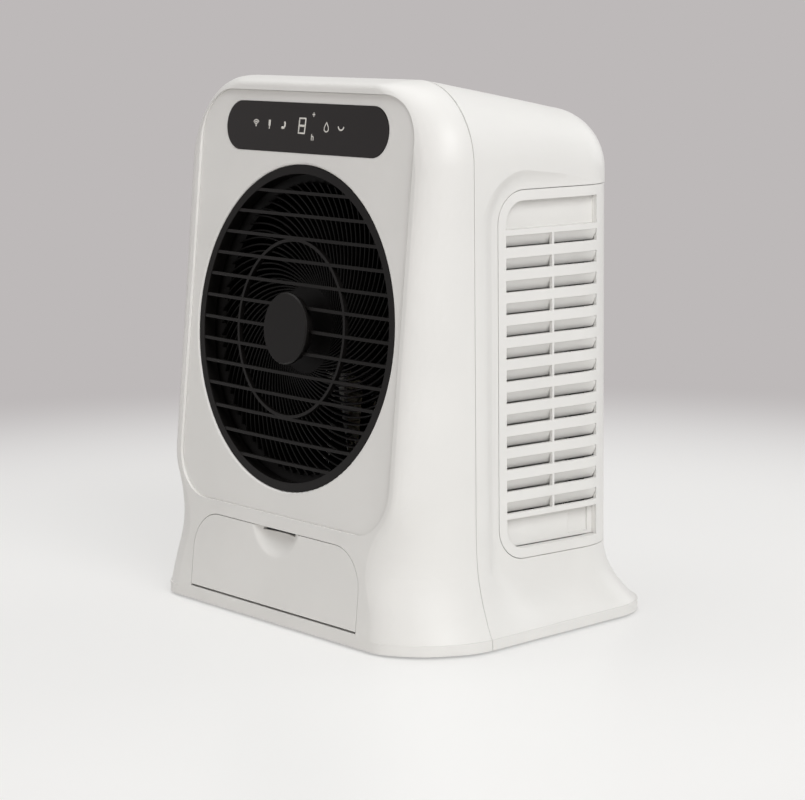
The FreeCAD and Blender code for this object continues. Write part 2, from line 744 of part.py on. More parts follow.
def rim_half(in_front):
    """The part of the base rim in front of, or behind, the parting plane."""
    height = float(S.rim_height) - float(S.rim_gap)
    ring = prism(rim_outline(float(S.rim_gap), 0.0), height)
    ring = ring.cut(prism(rim_outline(float(S.rim_gap), float(S.rim_wall)), height))
    behind = block(-FAR, FAR, parting_y, FAR, -FAR, FAR)
    return ring.cut(behind) if in_front else ring.common(behind)


def soften(solid, name, chosen, radius_at):
    """Rounds the chosen edges of a solid, each with a radius of its own at either end."""
    base = doc.addObject("Part::Feature", f"{name}_block")
    base.Shape = solid
    rounds = []
    for number, edge in enumerate(solid.Edges, start=1):
        ends = [edge.valueAt(edge.FirstParameter), edge.valueAt(edge.LastParameter)]
        if chosen(ends):
            rounds.append((number, radius_at(ends[0]), radius_at(ends[1])))
    soft = doc.addObject("Part::Fillet", f"{name}_soft_edges")
    soft.Base = base
    soft.Edges = rounds
    doc.recompute()
    return soft.Shape


def top_height(y, drop):
    """The rear housing's sloping top, lowered by a distance."""
    fall = math.tan(math.radians(float(S.top_slope)))
    return float(S.body_height) - drop - (y - float(parting_y)) * fall


def rounded_top(solid, name, drop, front_radius, back_radius):
    """Slopes a solid's top and rounds it into the walls, apart from the edge at the parting plane."""
    corners = [Vector(-FAR, y, top_height(y, drop)) for y in (-FAR, FAR)] + [Vector(-FAR, 0, 2 * FAR)]
    above = Part.Face(Part.makePolygon(corners + corners[:1])).extrude(Vector(2 * FAR, 0, 0))
    sloped = solid.cut(above)
    start = min(vertex.Point.y for vertex in sloped.Vertexes) + 1e-3

    def chosen(ends):
        on_top = all(abs(point.z - top_height(point.y, drop)) < 1e-4 for point in ends)
        return on_top and any(point.y > start for point in ends)

    def radius_at(point):
        return back_radius if point.y > start else front_radius

    return soften(sloped, name, chosen, radius_at)


def cover_outline(level, inset, start):
    """The louvre cover in plan, with its open end at start and its back corners round."""
    half, back = float(S.louvre_width) / 2 - inset, float(wall_y) - inset
    radius = float(S.rear_corner) - inset
    slant = radius * (1 - math.sqrt(0.5))
    edges = [
        Part.LineSegment(Vector(-half, start, level), Vector(half, start, level)).toShape(),
        Part.LineSegment(Vector(half, start, level), Vector(half, back - radius, level)).toShape(),
        Part.Arc(
            Vector(half, back - radius, level),
            Vector(half - slant, back - slant, level),
            Vector(half - radius, back, level),
        ).toShape(),
        Part.LineSegment(Vector(half - radius, back, level), Vector(radius - half, back, level)).toShape(),
        Part.Arc(
            Vector(radius - half, back, level),
            Vector(slant - half, back - slant, level),
            Vector(-half, back - radius, level),
        ).toShape(),
        Part.LineSegment(Vector(-half, back - radius, level), Vector(-half, start, level)).toShape(),
    ]
    return Part.Wire(edges)


def cover_block(grow):
    """The cover's side outline right across the housing, grown or shrunk all round."""
    start = float(louvre_y) - grow
    shape = block(-FAR, FAR, start, FAR, float(S.louvre_bottom) - grow, float(S.louvre_top) + grow)
    edges = [edge for edge in shape.Edges if all(abs(v.Point.y - start) < 1e-6 for v in edge.Vertexes)]
    level = [edge for edge in edges if abs(edge.Vertexes[0].Point.z - edge.Vertexes[1].Point.z) < 1e-6]
    return shape.makeFillet(float(S.louvre_corner) + grow, level)


def sweep_tool(sign, low, grow=0.0):
    """What the soft step round the louvre cover takes off a side wall, from a level upwards."""
    face, corner = float(S.louvre_width) / 2 - grow, float(S.louvre_corner) + grow
    front, top, outside = float(louvre_y) - grow, float(S.louvre_top) + grow, float(S.base_width)
    radius = float(S.rear_corner) - grow
    middle = Vector(float(S.rear_width) / 2 - grow - radius, float(wall_y) - grow - radius, low)
    first = Vector(float(S.body_width) / 2 - grow, float(parting_y), low)
    side = tangent_point(first, middle, radius) - first
    side = side * (1 / side.y)
    start = first + side * (float(sweep_y) - grow - first.y)
    inner = Vector(face, front, low)
    step = bezier(sweep_poles(start, side + Vector(-SWEEP_DIP, 0, 0), inner, Vector(0, 1, 0)))
    overlap = Vector(0, 1, 0)
    far_corners = [Vector(outside, front, low) + overlap, Vector(outside, start.y, low)]
    corners = [inner, inner + overlap, *far_corners, start]
    lines = [Part.LineSegment(a, b).toShape() for a, b in zip(corners, corners[1:])]
    slant = corner * (1 - math.sqrt(0.5))
    path = Part.Wire([
        Part.LineSegment(inner, Vector(face, front, top - corner)).toShape(),
        Part.Arc(
            Vector(face, front, top - corner),
            Vector(face, front + slant, top - slant),
            Vector(face, front + corner, top),
        ).toShape(),
        Part.LineSegment(Vector(face, front + corner, top), Vector(face, FAR, top)).toShape(),
    ])
    border = path.makePipeShell([Part.Wire([step] + lines)], True, False)
    opening = block(face, outside, front, FAR, low, top)

    def at_corner(edge):
        return all(abs(v.Point.y - front) < 1e-6 and abs(v.Point.z - top) < 1e-6 for v in edge.Vertexes)

    opening = opening.makeFillet(corner, [edge for edge in opening.Edges if at_corner(edge)])
    tool = border.fuse(opening)
    return tool if sign > 0 else tool.mirror(Vector(0, 0, 0), Vector(1, 0, 0))


# Housings.

def make_front_housing():
    """The front shell: a loft from the fascia rim to the parting plane, hollow and open behind."""
    low = float(S.rim_height) + 1e-6
    solid = Part.makeLoft([front_section(*step) for step in PLAN_CURVE], True)

    def front_edge(ends):
        in_front = all(abs(point.y - front_plane_y(point.z)) < 1e-4 for point in ends)
        return in_front and any(point.z > low for point in ends)

    def radius_at(point):
        return float(S.front_round if point.z > low else S.toe_round)

    solid = soften(solid, "front_housing", front_edge, radius_at)
    thickness = float(S.fascia_thick) + float(S.seat_thick)
    behind_seat = leaned(block(-FAR, FAR, -FAR, FAR, -FAR, -thickness))
    inner = Part.makeLoft([front_section(*step, float(S.wall)) for step in PLAN_CURVE], True)
    shell = solid.cut(inner.common(behind_seat)).fuse(rim_half(True))
    gap, seat = float(S.seam_gap), float(S.seat_width)
    width, height, radius = float(S.fascia_width), float(S.fascia_height), float(S.fascia_corner)
    middle = float(fascia_middle)
    recess = round_rectangle(width + 2 * gap, height + 2 * gap, radius + gap, middle, -float(S.fascia_thick))
    shell = shell.cut(leaned(prism(recess, FAR)))
    hole = round_rectangle(width - 2 * seat, height - 2 * seat, radius - seat, middle, -2 * thickness)
    shell = shell.cut(leaned(prism(hole, FAR)))
    gap = float(S.drawer_gap)
    half = float(S.drawer_width) / 2 + gap
    low, high = float(S.drawer_bottom) - float(S.drawer_sill), float(S.drawer_top) + gap
    doorway = arch(half, low, high, float(S.drawer_corner) + gap, -2 * thickness)
    shell = shell.cut(leaned(prism(doorway, FAR), front_y, S.rim_height))
    feature(shell.removeSplitter(), "front_housing")


FLARE_STEPS = 6


def flare_loft(inset, top):
    low = float(S.rim_height)
    levels = [low + (top - low) * step / FLARE_STEPS for step in range(FLARE_STEPS + 1)]
    return Part.makeLoft([foot_section(z, inset) for z in levels], True)


def parting_line():
    """A fine groove round the rear housing's front edge."""
    groove, y = float(S.parting_groove), float(parting_y)
    ring = Part.Face(front_section(1, 1, -groove)).cut(Part.Face(front_section(1, 1, groove)))
    ring = ring.extrude(Vector(0, groove, 0))
    half, low, high = float(S.base_width) / 2, 0.0, float(S.rim_height)
    for sign in (1, -1):
        xs = sorted((sign * (half - groove), sign * (half + groove)))
        ring = ring.fuse(block(*xs, y, y + groove, low, high))
    return ring


def make_rear_housing():
    """The rear shell, swept in round the louvre cover and hollow for the pad and the pump."""
    wall, depth = float(S.wall), float(S.louvre_thick) + float(S.louvre_ledge)
    start, height = float(parting_y), float(S.body_height)
    crest, corner = float(S.top_round), float(S.back_round)
    tall = prism(rear_section(float(flare_top)), height)
    tall = rounded_top(tall, "rear_housing", 0.0, crest, corner)
    front_zone = prism(rear_section(0.0, wall), height)
    front_zone = rounded_top(front_zone, "rear_hollow", wall, crest - wall, corner - wall)
    for sign in (1, -1):
        tall = tall.cut(sweep_tool(sign, float(flare_top)))
        front_zone = front_zone.cut(sweep_tool(sign, 0.0, wall))
    shell = tall.fuse(flare_loft(0.0, float(flare_top)))
    cavity = prism(cover_outline(0.0, depth, start), height)
    inner_round = float(S.rear_corner) - depth - wall
    shell = shell.cut(rounded_top(cavity, "pad_hollow", wall, inner_round, inner_round))
    ring_depth = float(S.louvre_front) / 2
    shell = shell.cut(front_zone.common(block(-FAR, FAR, -FAR, start + ring_depth, -FAR, FAR)))
    shell = shell.cut(flare_loft(wall, float(cover_foot) - wall))
    core = prism(cover_outline(0.0, float(S.louvre_thick) + float(S.cover_gap), -FAR), FAR)
    shell = shell.cut(cover_block(float(S.cover_gap)).cut(core))
    shell = shell.cut(cover_block(-float(S.louvre_border)))
    post_x = float(S.louvre_width) / 2 - depth - float(S.post_clear)
    arm_end = float(S.louvre_width) / 2 - depth + float(S.louvre_ledge) / 2
    rib, tie = float(S.bulkhead_rib), float(S.louvre_border) + float(S.wall) / 2
    foot, head = float(S.louvre_bottom) - wall, float(S.louvre_top) + wall
    for sign in (1, -1):
        upright = block(post_x - rib, post_x, pad_y, pad_y + S.pad_wall, foot, head)
        for low in (foot, head - tie):
            upright = upright.fuse(block(post_x - rib, arm_end, pad_y, pad_y + S.pad_wall, low, low + tie))
        shell = shell.fuse(upright if sign > 0 else upright.mirror(Vector(0, 0, 0), Vector(1, 0, 0)))
    shell = shell.fuse(rim_half(False)).cut(parting_line())
    inlet_start = Vector(-float(S.inlet_side), float(wall_y - S.inlet_radius), float(S.inlet_rise))
    hole = Part.makeCylinder(float(S.inlet_radius + S.fit_gap), FAR, inlet_start, Vector(0, 1, 0))
    feature(shell.cut(hole).removeSplitter(), "rear_housing")


make_front_housing()
make_rear_housing()

# Fascia and display.

fascia = new_body("front_fascia")
outline = new_sketch(fascia, "fascia_outline")
draw_round_rectangle(outline, S.fascia_width, S.fascia_height, S.fascia_corner, fascia_middle)
draw_circle(outline, S.outlet_radius)
draw_pill(
    outline,
    S.display_length + 2 * S.fit_gap,
    S.display_height + 2 * S.fit_gap,
    S.display_rise,
)
plate = pad(fascia, outline, S.fascia_thick, reverse=True)


def outlet_edge(edge):
    round_edge = hasattr(edge.Curve, "Radius") and abs(edge.Curve.Radius - float(S.outlet_radius)) < 1e-3
    return round_edge and abs(edge.CenterOfMass.z) < 1e-6


round_edges(fascia, plate, edge_names(plate.Shape, outlet_edge), S.outlet_round)
lean(fascia)

window = new_body("display_window")
pane = new_sketch(window, "window_pane", offset=-S.fascia_thick)
draw_pill(pane, S.display_length, S.display_height, S.display_rise)
pad(window, pane, S.fascia_thick + S.display_proud)
flange = new_sketch(window, "window_flange", offset=-S.fascia_thick)
draw_pill(
    flange,
    S.display_length + 2 * S.display_flange,
    S.display_height + 2 * S.display_flange,
    S.display_rise,
)
pad(window, flange, S.display_flange / 2, reverse=True)
lean(window)

board = new_body("control_board")
board_face = new_sketch(board, "board_face", offset=-(S.fascia_thick + S.display_flange / 2))
board_length, board_height = S.display_length - S.display_height, S.display_height - S.board_margin
draw_rectangle(board_face, board_length, board_height, 0, S.display_rise)
pad(board, board_face, S.board_thick, reverse=True)
lean(board)


# Outlet grille.

# Degrees from the level at which turned rings start and end, clear of every bar.
BETWEEN_BARS = 75


def turned(points):
    """A ring turned about the fan's axis from an outline of (radius, height) points."""
    corners = [Vector(radius, 0, height) for radius, height in points]
    face = Part.Face(Part.makePolygon(corners + corners[:1]))
    face.rotate(Vector(0, 0, 0), Vector(0, 0, 1), BETWEEN_BARS)
    return face.revolve(Vector(0, 0, 0), Vector(0, 0, 1), 360)


def make_front_grille():
    """Bars and a tie ring on a shallow dome, inside a ring that sits in the outlet."""
    ring, outer = float(S.ring_inner), float(S.outlet_radius) - float(S.fit_gap)
    rise, apex = float(S.dome_rise), float(S.dome_apex)
    depth, thick = float(S.bar_depth), float(S.bar_height)
    dome = (ring * ring + rise * rise) / (2 * rise)
    inside, rim = float(S.shroud_radius) - float(S.fit_gap), float(S.ring_flange)
    reach = (ring + inside) / 2

    def dome_height(x, level):
        return apex - dome + math.sqrt(dome * dome - x * x - level * level)

    def bar(level):
        half = math.sqrt(reach * reach - level * level)
        back = Vector(0, 0, -depth)
        left = Vector(-half, level - thick / 2, dome_height(half, level))
        middle = Vector(0, level - thick / 2, dome_height(0, level))
        right = Vector(half, level - thick / 2, dome_height(half, level))
        outline = Part.Wire([
            bow(left, middle, right),
            Part.LineSegment(right, right + back).toShape(),
            bow(right + back, middle + back, left + back),
            Part.LineSegment(left + back, left).toShape(),
        ])
        return Part.Face(outline).extrude(Vector(0, thick, 0))

    count = int(round(float(S.bar_count)))
    bars = [bar((number - (count - 1) / 2) * float(S.bar_pitch)) for number in range(count)]
    tie, top = float(S.middle_ring), dome_height(float(S.middle_ring), 0)
    tie_ring = turned([
        (tie - thick / 2, top - depth),
        (tie + thick / 2, top - depth),
        (tie + thick / 2, top),
        (tie - thick / 2, top),
    ])
    lift = float(S.hub_seat)
    seat_low = Vector(0, 0, apex - depth - lift)
    seat = Part.makeCylinder(float(S.hub_radius) - thick, depth + 2 * lift, seat_low)
    back, flange = -float(S.fascia_thick), -float(S.fascia_thick) - float(S.flange_thick)
    lip = -float(S.ring_lip)
    bezel = turned([
        (ring, lip),
        (outer, lip),
        (outer, back),
        (rim, back),
        (rim, flange),
        (inside, flange),
        (inside, -float(S.ring_depth)),
        (ring, -float(S.ring_depth)),
    ])
    grille = bezel.multiFuse(bars + [tie_ring, seat])
    feature(grille.removeSplitter(), "front_grille", leaning_placement())


make_front_grille()

cap_edge = S.hub_thick / 3
cap_back = S.dome_apex + S.hub_seat
hub_cap = revolve("grille_hub_cap", [
    (0, cap_back),
    (S.hub_radius, cap_back),
    (S.hub_radius, cap_back + S.hub_thick - cap_edge),
    (S.hub_radius - cap_edge, cap_back + S.hub_thick),
    (0, cap_back + S.hub_thick),
])
lean(hub_cap)


# Spiral guard: each vane is an arc that leaves the hub at an angle to the radius.

def spiral_vane(start, end, turn):
    """One upright vane: a ribbon between two arcs that follow a spiral."""
    half, low = float(S.vane_thick) / 2, -float(S.guard_back)
    growth = math.tan(math.radians(float(S.vane_sweep)))

    def on_spiral(radius):
        angle = turn + growth * math.log(radius / start)
        return Vector(radius * math.cos(angle), radius * math.sin(angle), low)

    points = [on_spiral(radius) for radius in (start, (start + end) / 2, end)]
    middle = Part.Arc(*points).toShape().Curve.Center

    def shifted(distance):
        return [point + (point - middle).normalize() * distance for point in points]

    inner, outer = shifted(-half), shifted(half)
    outline = Part.Wire([
        Part.Arc(*inner).toShape(),
        Part.LineSegment(inner[-1], outer[-1]).toShape(),
        Part.Arc(*reversed(outer)).toShape(),
        Part.LineSegment(outer[0], inner[0]).toShape(),
    ])
    return Part.Face(outline).extrude(Vector(0, 0, float(S.guard_depth)))


def make_spiral_guard():
    hub, outer = float(S.guard_hub), float(S.shroud_radius) - float(S.fit_gap)
    inner, root = outer - float(S.guard_rim), float(S.vane_root)
    low, depth = -float(S.guard_back), float(S.guard_depth)
    rim = turned([
        (inner, low),
        (outer, low),
        (outer, low + depth),
        (outer - float(S.guard_rim) / 4, low + depth),
        (inner, low + depth / 2),
    ])
    disc = Part.makeCylinder(hub, depth, Vector(0, 0, low))
    count = int(round(float(S.vane_count)))
    vanes = [spiral_vane(hub - root, inner + root, 2 * math.pi * number / count) for number in range(count)]
    guard = rim.multiFuse([disc] + vanes)
    feature(guard.removeSplitter(), "spiral_guard", leaning_placement())


make_spiral_guard()

# Shroud, motor and fan, turned about the fan's axis.

flange_front = S.fascia_thick + S.flange_thick
shroud = revolve("fan_shroud", [
    (S.shroud_radius, -flange_front),
    (S.shroud_flange, -flange_front),
    (S.shroud_flange, -(flange_front + S.shroud_wall)),
    (shroud_outer, -(flange_front + S.shroud_wall)),
    (shroud_outer, -S.shroud_end),
    (S.shroud_radius, -S.shroud_end),
    (S.shroud_radius, -(S.guard_back + S.ledge_thick)),
    (S.ledge_inner, -(S.guard_back + S.ledge_thick)),
    (S.ledge_inner, -S.guard_back),
    (S.shroud_radius, -S.guard_back),
])
lean(shroud)

bracket = new_body("motor_bracket")
boss_radius = S.shaft_radius * 3
bracket_ring = new_sketch(bracket, "bracket_ring", offset=-S.shroud_end)
draw_circle(bracket_ring, S.motor_radius + S.bracket_thick)
draw_circle(bracket_ring, boss_radius)
pad(bracket, bracket_ring, S.bracket_thick, reverse=True)
bracket_arm = new_sketch(bracket, "bracket_arm", offset=-S.shroud_end)
arm_middle = (shroud_outer + S.motor_radius) / 2
draw_rectangle(bracket_arm, shroud_outer - S.motor_radius, S.bracket_arm, arm_middle, 0)
arm = pad(bracket, bracket_arm, S.bracket_thick, reverse=True)
arms = bracket.newObject("PartDesign::PolarPattern", "bracket_arms")
arms.Originals = [arm]
arms.Axis = (bracket_arm, ["N_Axis"])
arms.Angle = 360
bind(arms, "Occurrences", S.arm_count)
bracket.Tip = arms
lean(bracket)

motor_end = bracket_back + S.motor_length
motor_bore = S.shaft_radius + S.running_gap
motor_shoulder = S.motor_length / 6
motor = revolve("fan_motor", [
    (motor_bore, -(bracket_back - S.bracket_thick)),
    (boss_radius - S.fit_gap, -(bracket_back - S.bracket_thick)),
    (boss_radius - S.fit_gap, -bracket_back),
    (S.motor_radius, -bracket_back),
    (S.motor_radius, -(motor_end - motor_shoulder)),
    (S.motor_radius - motor_shoulder, -motor_end),
    (0, -motor_end),
    (0, -(motor_end - motor_shoulder)),
    (motor_bore, -(motor_end - motor_shoulder)),
])
lean(motor)

fan_back = S.fan_front + S.fan_depth
shaft_end = motor_end - motor_shoulder - S.fit_gap
shaft = doc.addObject("Part::Cylinder", "motor_shaft")
keep(shaft, "motor_shaft")
bind(shaft, "Radius", S.shaft_radius)
bind(shaft, "Height", shaft_end - S.fan_front)
shaft_lift = Size(f"sin({S.front_lean.text} * 1 deg)", math.sin(math.radians(float(S.front_lean))))
lean(shaft, face_y + shaft_end * cosine(S.front_lean), S.outlet_height - shaft_end * shaft_lift)

nut_length = S.nut_radius
nut = revolve("fan_nut", [
    (motor_bore, -S.fan_front),
    (S.nut_radius, -S.fan_front),
    (S.nut_radius, -(S.fan_front - nut_length / 2)),
    (S.nut_radius / 2, -(S.fan_front - nut_length)),
    (0, -(S.fan_front - nut_length)),
    (0, -(S.fan_front - S.fit_gap)),
    (motor_bore, -(S.fan_front - S.fit_gap)),
])
lean(nut)


def blade_section(radius, angle, chord, pitch):
    """A thin level slice of a fan blade, square to the radius."""
    out = Vector(math.cos(angle), math.sin(angle), 0)
    round_ = Vector(-math.sin(angle), math.cos(angle), 0)
    along = round_ * math.cos(pitch) + Vector(0, 0, 1) * math.sin(pitch)
    across = round_ * -math.sin(pitch) + Vector(0, 0, 1) * math.cos(pitch)
    middle = out * radius - Vector(0, 0, float(S.fan_front) + float(S.fan_depth) / 2)
    half, thick = along * (chord / 2), across * (float(S.blade_thick) / 2)
    corners = [middle - half - thick, middle + half - thick, middle + half + thick, middle - half + thick]
    return Part.makePolygon(corners + corners[:1])


ROOT_PITCH = math.radians(42)
TIP_PITCH = math.radians(24)
TIP_LEAD = math.radians(16)


RIB_COUNT = 6


def make_fan_impeller():
    """A moulded axial impeller: twisted blades on a hollow hub with ribs inside."""
    hub, tip, wall = float(S.fan_hub), float(S.fan_radius), float(S.blade_thick)
    front, back, nose = -float(S.fan_front), -float(fan_back), float(S.fan_nose)
    boss, lid = 2 * float(S.shaft_radius), front - float(S.fan_nose)
    body = turned([
        (float(motor_bore), front),
        (hub - nose, front),
        (hub, lid),
        (hub, back),
        (hub - wall, back),
        (hub - wall, lid),
        (boss, lid),
        (boss, back),
        (float(motor_bore), back),
    ])
    ribs = []
    for number in range(RIB_COUNT):
        rib = block(boss - wall / 2, hub - wall / 2, -wall / 2, wall / 2, back + nose, lid + wall / 2)
        rib.rotate(Vector(0, 0, 0), Vector(0, 0, 1), 360 * number / RIB_COUNT)
        ribs.append(rib)
    count = int(round(float(S.blade_count)))
    blades = []
    for number in range(count):
        turn = 2 * math.pi * number / count
        root = blade_section(hub - wall, turn, float(S.root_chord), ROOT_PITCH)
        end = blade_section(tip, turn + TIP_LEAD, float(S.tip_chord), TIP_PITCH)
        blades.append(Part.makeLoft([root, end], True, True))
    wheel = body.multiFuse(ribs + blades).common(Part.makeCylinder(tip, FAR, Vector(0, 0, -FAR)))
    feature(wheel, "fan_impeller", leaning_placement())


make_fan_impeller()


def make_bracket_screws():
    radius = (float(S.shroud_radius) + float(shroud_outer)) / 2
    low = -float(bracket_back) - float(S.screw_head)
    count = int(round(float(S.arm_count)))
    heads = []
    for number in range(count):
        turn = 2 * math.pi * number / count
        middle = Vector(radius * math.cos(turn), radius * math.sin(turn), low)
        heads.append(Part.makeCylinder(float(S.screw_radius), float(S.screw_head), middle))
    feature(Part.makeCompound(heads), "bracket_screws", leaning_placement())


make_bracket_screws()


# Louvre cover with its slots, blades and finger recesses, and the dust filter behind it.

def side_pair(shape):
    return [shape, shape.mirror(Vector(0, 0, 0), Vector(1, 0, 0))]


def louvre_blade(level):
    """The outline of one blade, from the wall above a slot inwards and down: (depth, height) points."""
    wall, rise = float(S.louvre_thick), float(S.blade_wall)
    reach, drop = float(S.blade_reach), float(S.blade_drop)
    top = level + float(S.slot_height)
    outer, inner = wall / 2, wall + reach
    return [(outer, top), (outer, top + rise), (inner, top + rise - drop), (inner, top - drop)]


def make_louvre_cover():
    face, thick = float(S.louvre_width) / 2, float(S.louvre_thick)
    start, end = float(window_y), float(window_y) + float(S.window_length)
    height = float(S.body_height)
    shell = prism(cover_outline(0.0, 0.0, -FAR), height).cut(prism(cover_outline(0.0, thick, -FAR), height))
    shell = shell.common(cover_block(0.0))
    count, pitch, tall = int(round(float(S.slot_count))), float(S.slot_pitch), float(S.slot_height)
    levels = [float(S.first_slot) + number * pitch for number in range(count)]
    depth, gap = float(S.pocket_depth), float(S.pocket_gap)
    corner = float(S.louvre_corner) - float(S.louvre_border)
    recesses = (
        (float(window_bottom), levels[0] - gap, float(window_bottom)),
        (levels[-1] + tall + gap, float(window_top), float(window_top)),
    )

    def with_corner(shape, y, z):
        edge = [
            e for e in shape.Edges
            if all(abs(v.Point.y - y) < 1e-6 and abs(v.Point.z - z) < 1e-6 for v in e.Vertexes)
        ]
        return shape.makeFillet(corner, edge)

    outside, clear = float(S.base_width), float(S.fit_gap)
    inside = prism(cover_outline(0.0, clear, -FAR), height)
    backs, cuts = [], []
    for low, high, outer in recesses:
        grow_low = clear if outer == low else -thick / 2
        grow_high = -clear if outer == high else thick / 2
        back = block(face - depth - thick, face, start + clear, end, low + grow_low, high + grow_high)
        back = with_corner(back, start + clear, outer + (clear if outer == low else -clear))
        backs += side_pair(back.common(inside))
        cut = block(face - depth, outside, start, end, low, high)
        cuts += side_pair(with_corner(cut, start, outer))
    latch_end = end - float(S.latch_margin)
    latch_start = latch_end - float(S.latch_length)
    latch_low, latch_high = float(window_bottom) + thick, levels[0] - gap
    cuts += side_pair(block(face - depth - thick / 2, outside, latch_start, latch_end, latch_low, latch_high))
    rib, middle = float(S.rib_thick) / 2, (start + end) / 2
    columns, width = int(round(float(S.back_columns))), float(S.back_window)
    column = width / columns
    blades = []
    for level in levels:
        for first, last in ((start, middle - rib), (middle + rib, end)):
            cuts.append(block(-FAR, FAR, first, last, level, level + tall))
        for number in range(columns):
            x = -width / 2 + number * column
            cuts.append(block(x + rib, x + column - rib, pad_y, FAR, level, level + tall))
        points = louvre_blade(level)
        side = [Vector(face - d, start + clear, z) for d, z in points]
        blade = Part.Face(Part.makePolygon(side + side[:1])).extrude(Vector(0, end - start - 2 * clear, 0))
        blades += side_pair(blade.common(inside))
        back = [Vector(rib - width / 2, float(wall_y) - d, z) for d, z in points]
        blades.append(Part.Face(Part.makePolygon(back + back[:1])).extrude(Vector(width - 2 * rib, 0, 0)))
    shell = shell.multiFuse(backs).cut(Part.makeCompound(cuts))
    cover = shell.multiFuse(blades)
    feature(cover.removeSplitter(), "louvre_cover")


make_louvre_cover()


def upright(body, y):
    """Stands a body that was drawn flat: its Y becomes up, and its Z points to the front."""
    body.Placement = Placement(Vector(0, float(y), 0), Rotation(Vector(1, 0, 0), 90))
    place(body, y=y)


dust_filter = new_body("dust_filter")
filter_width = S.louvre_width - 2 * S.rear_corner - 2 * S.fit_gap
filter_height = window_top - window_bottom - 2 * S.fit_gap
filter_middle = (window_top + window_bottom) / 2
filter_frame = new_sketch(dust_filter, "filter_frame")
draw_rectangle(filter_frame, filter_width, filter_height, 0, filter_middle)
pad(dust_filter, filter_frame, S.filter_depth)
filter_inside = new_sketch(dust_filter, "filter_inside")
mesh_width, mesh_height = filter_width - 2 * S.filter_rim, filter_height - 2 * S.filter_rim
draw_rectangle(filter_inside, mesh_width, mesh_height, 0, filter_middle)
pocket(dust_filter, filter_inside, S.filter_depth - S.filter_mesh, reverse=True)
cell_x = (filter_width - 2 * S.filter_rim) / S.filter_columns
cell_y = (filter_height - 2 * S.filter_rim) / S.filter_rows
cell = new_sketch(dust_filter, "filter_cell")
draw_rectangle(
    cell,
    cell_x - S.filter_mesh,
    cell_y - S.filter_mesh,
    -(filter_width / 2 - S.filter_rim - cell_x / 2),
    filter_middle - filter_height / 2 + S.filter_rim + cell_y / 2,
)
opening = pocket(dust_filter, cell, S.filter_depth, reverse=True)
across = dust_filter.newObject("PartDesign::MultiTransform", "filter_openings")
across.Originals = [opening]
step_x = dust_filter.newObject("PartDesign::LinearPattern", "filter_across")
step_x.Direction = (cell, ["H_Axis"])
bind(step_x, "Length", filter_width - 2 * S.filter_rim - cell_x)
bind(step_x, "Occurrences", S.filter_columns)
step_y = dust_filter.newObject("PartDesign::LinearPattern", "filter_up")
step_y.Direction = (cell, ["V_Axis"])
bind(step_y, "Length", filter_height - 2 * S.filter_rim - cell_y)
bind(step_y, "Occurrences", S.filter_rows)
across.Transformations = [step_x, step_y]
dust_filter.Tip = across
upright(dust_filter, cover_inside_y)

# Cooling pad, its frame and the tray that wets it.

pad_top = S.pad_bottom + S.pad_height
pad_middle = S.pad_bottom + S.pad_height / 2
cooling_pad = doc.addObject("Part::Box", "cooling_pad")
keep(cooling_pad, "cooling_pad")
bind(cooling_pad, "Length", S.pad_width)
bind(cooling_pad, "Width", S.pad_thick)
bind(cooling_pad, "Height", S.pad_height)
place(cooling_pad, -S.pad_width / 2, pad_y, S.pad_bottom)

pad_frame = new_body("pad_frame")
frame_height = S.pad_height + 2 * S.fit_gap + 2 * S.pad_wall
bulkhead_width = S.louvre_width - 2 * (S.louvre_thick + S.louvre_ledge + S.post_clear) - 2 * S.fit_gap
bulkhead = new_sketch(pad_frame, "bulkhead", offset=S.pad_thick)
draw_rectangle(bulkhead, bulkhead_width, frame_height, 0, pad_middle)
draw_rectangle(bulkhead, S.pad_width - 2 * S.pad_lip, S.pad_height - 2 * S.pad_lip, 0, pad_middle)
pad(pad_frame, bulkhead, S.pad_wall)
surround = new_sketch(pad_frame, "pad_surround")
inner_width, inner_height = S.pad_width + 2 * S.fit_gap, S.pad_height + 2 * S.fit_gap
draw_rectangle(surround, inner_width + 2 * S.pad_wall, frame_height, 0, pad_middle)
draw_rectangle(surround, inner_width, inner_height, 0, pad_middle)
pad(pad_frame, surround, S.pad_thick)
upright(pad_frame, pad_back_y)

tray = new_body("water_tray")
tray_bottom = pad_top + S.fit_gap + S.pad_wall
tray_depth = S.pad_thick + S.pad_wall
tray_middle = pad_back_y - tray_depth / 2
tray_floor = new_sketch(tray, "tray_floor", offset=tray_bottom)
draw_rectangle(tray_floor, S.pad_width, tray_depth, 0, tray_middle)
pad(tray, tray_floor, S.tray_height)
tray_hollow = new_sketch(tray, "tray_hollow", offset=tray_bottom + S.tray_wall)
draw_rectangle(tray_hollow, S.pad_width - 2 * S.tray_wall, tray_depth - 2 * S.tray_wall, 0, tray_middle)
pocket(tray, tray_hollow, S.tray_height, reverse=True)
drip_pitch = (S.pad_width - 4 * S.tray_wall) / S.drip_count
drip = new_sketch(tray, "drip_hole", offset=tray_bottom)
draw_circle(drip, S.drip_radius, -(drip_pitch * (S.drip_count - 1) / 2), tray_middle)
drip_hole = pocket(tray, drip, S.tray_wall, reverse=True)
drips = tray.newObject("PartDesign::LinearPattern", "drip_holes")
drips.Originals = [drip_hole]
drips.Direction = (drip, ["H_Axis"])
bind(drips, "Length", drip_pitch * (S.drip_count - 1))
bind(drips, "Occurrences", S.drip_count)
tray.Tip = drips
doc.recompute()
hose_z = tray_bottom + S.tray_height / 2
hose_port = new_sketch(tray, "hose_port", "XZ_Plane", offset=-pad_back_y)
draw_circle(hose_port, S.hose_bore, 0, hose_z)
pocket(tray, hose_port, 2 * S.tray_wall, symmetric=True)

# Sump, pump and hose.

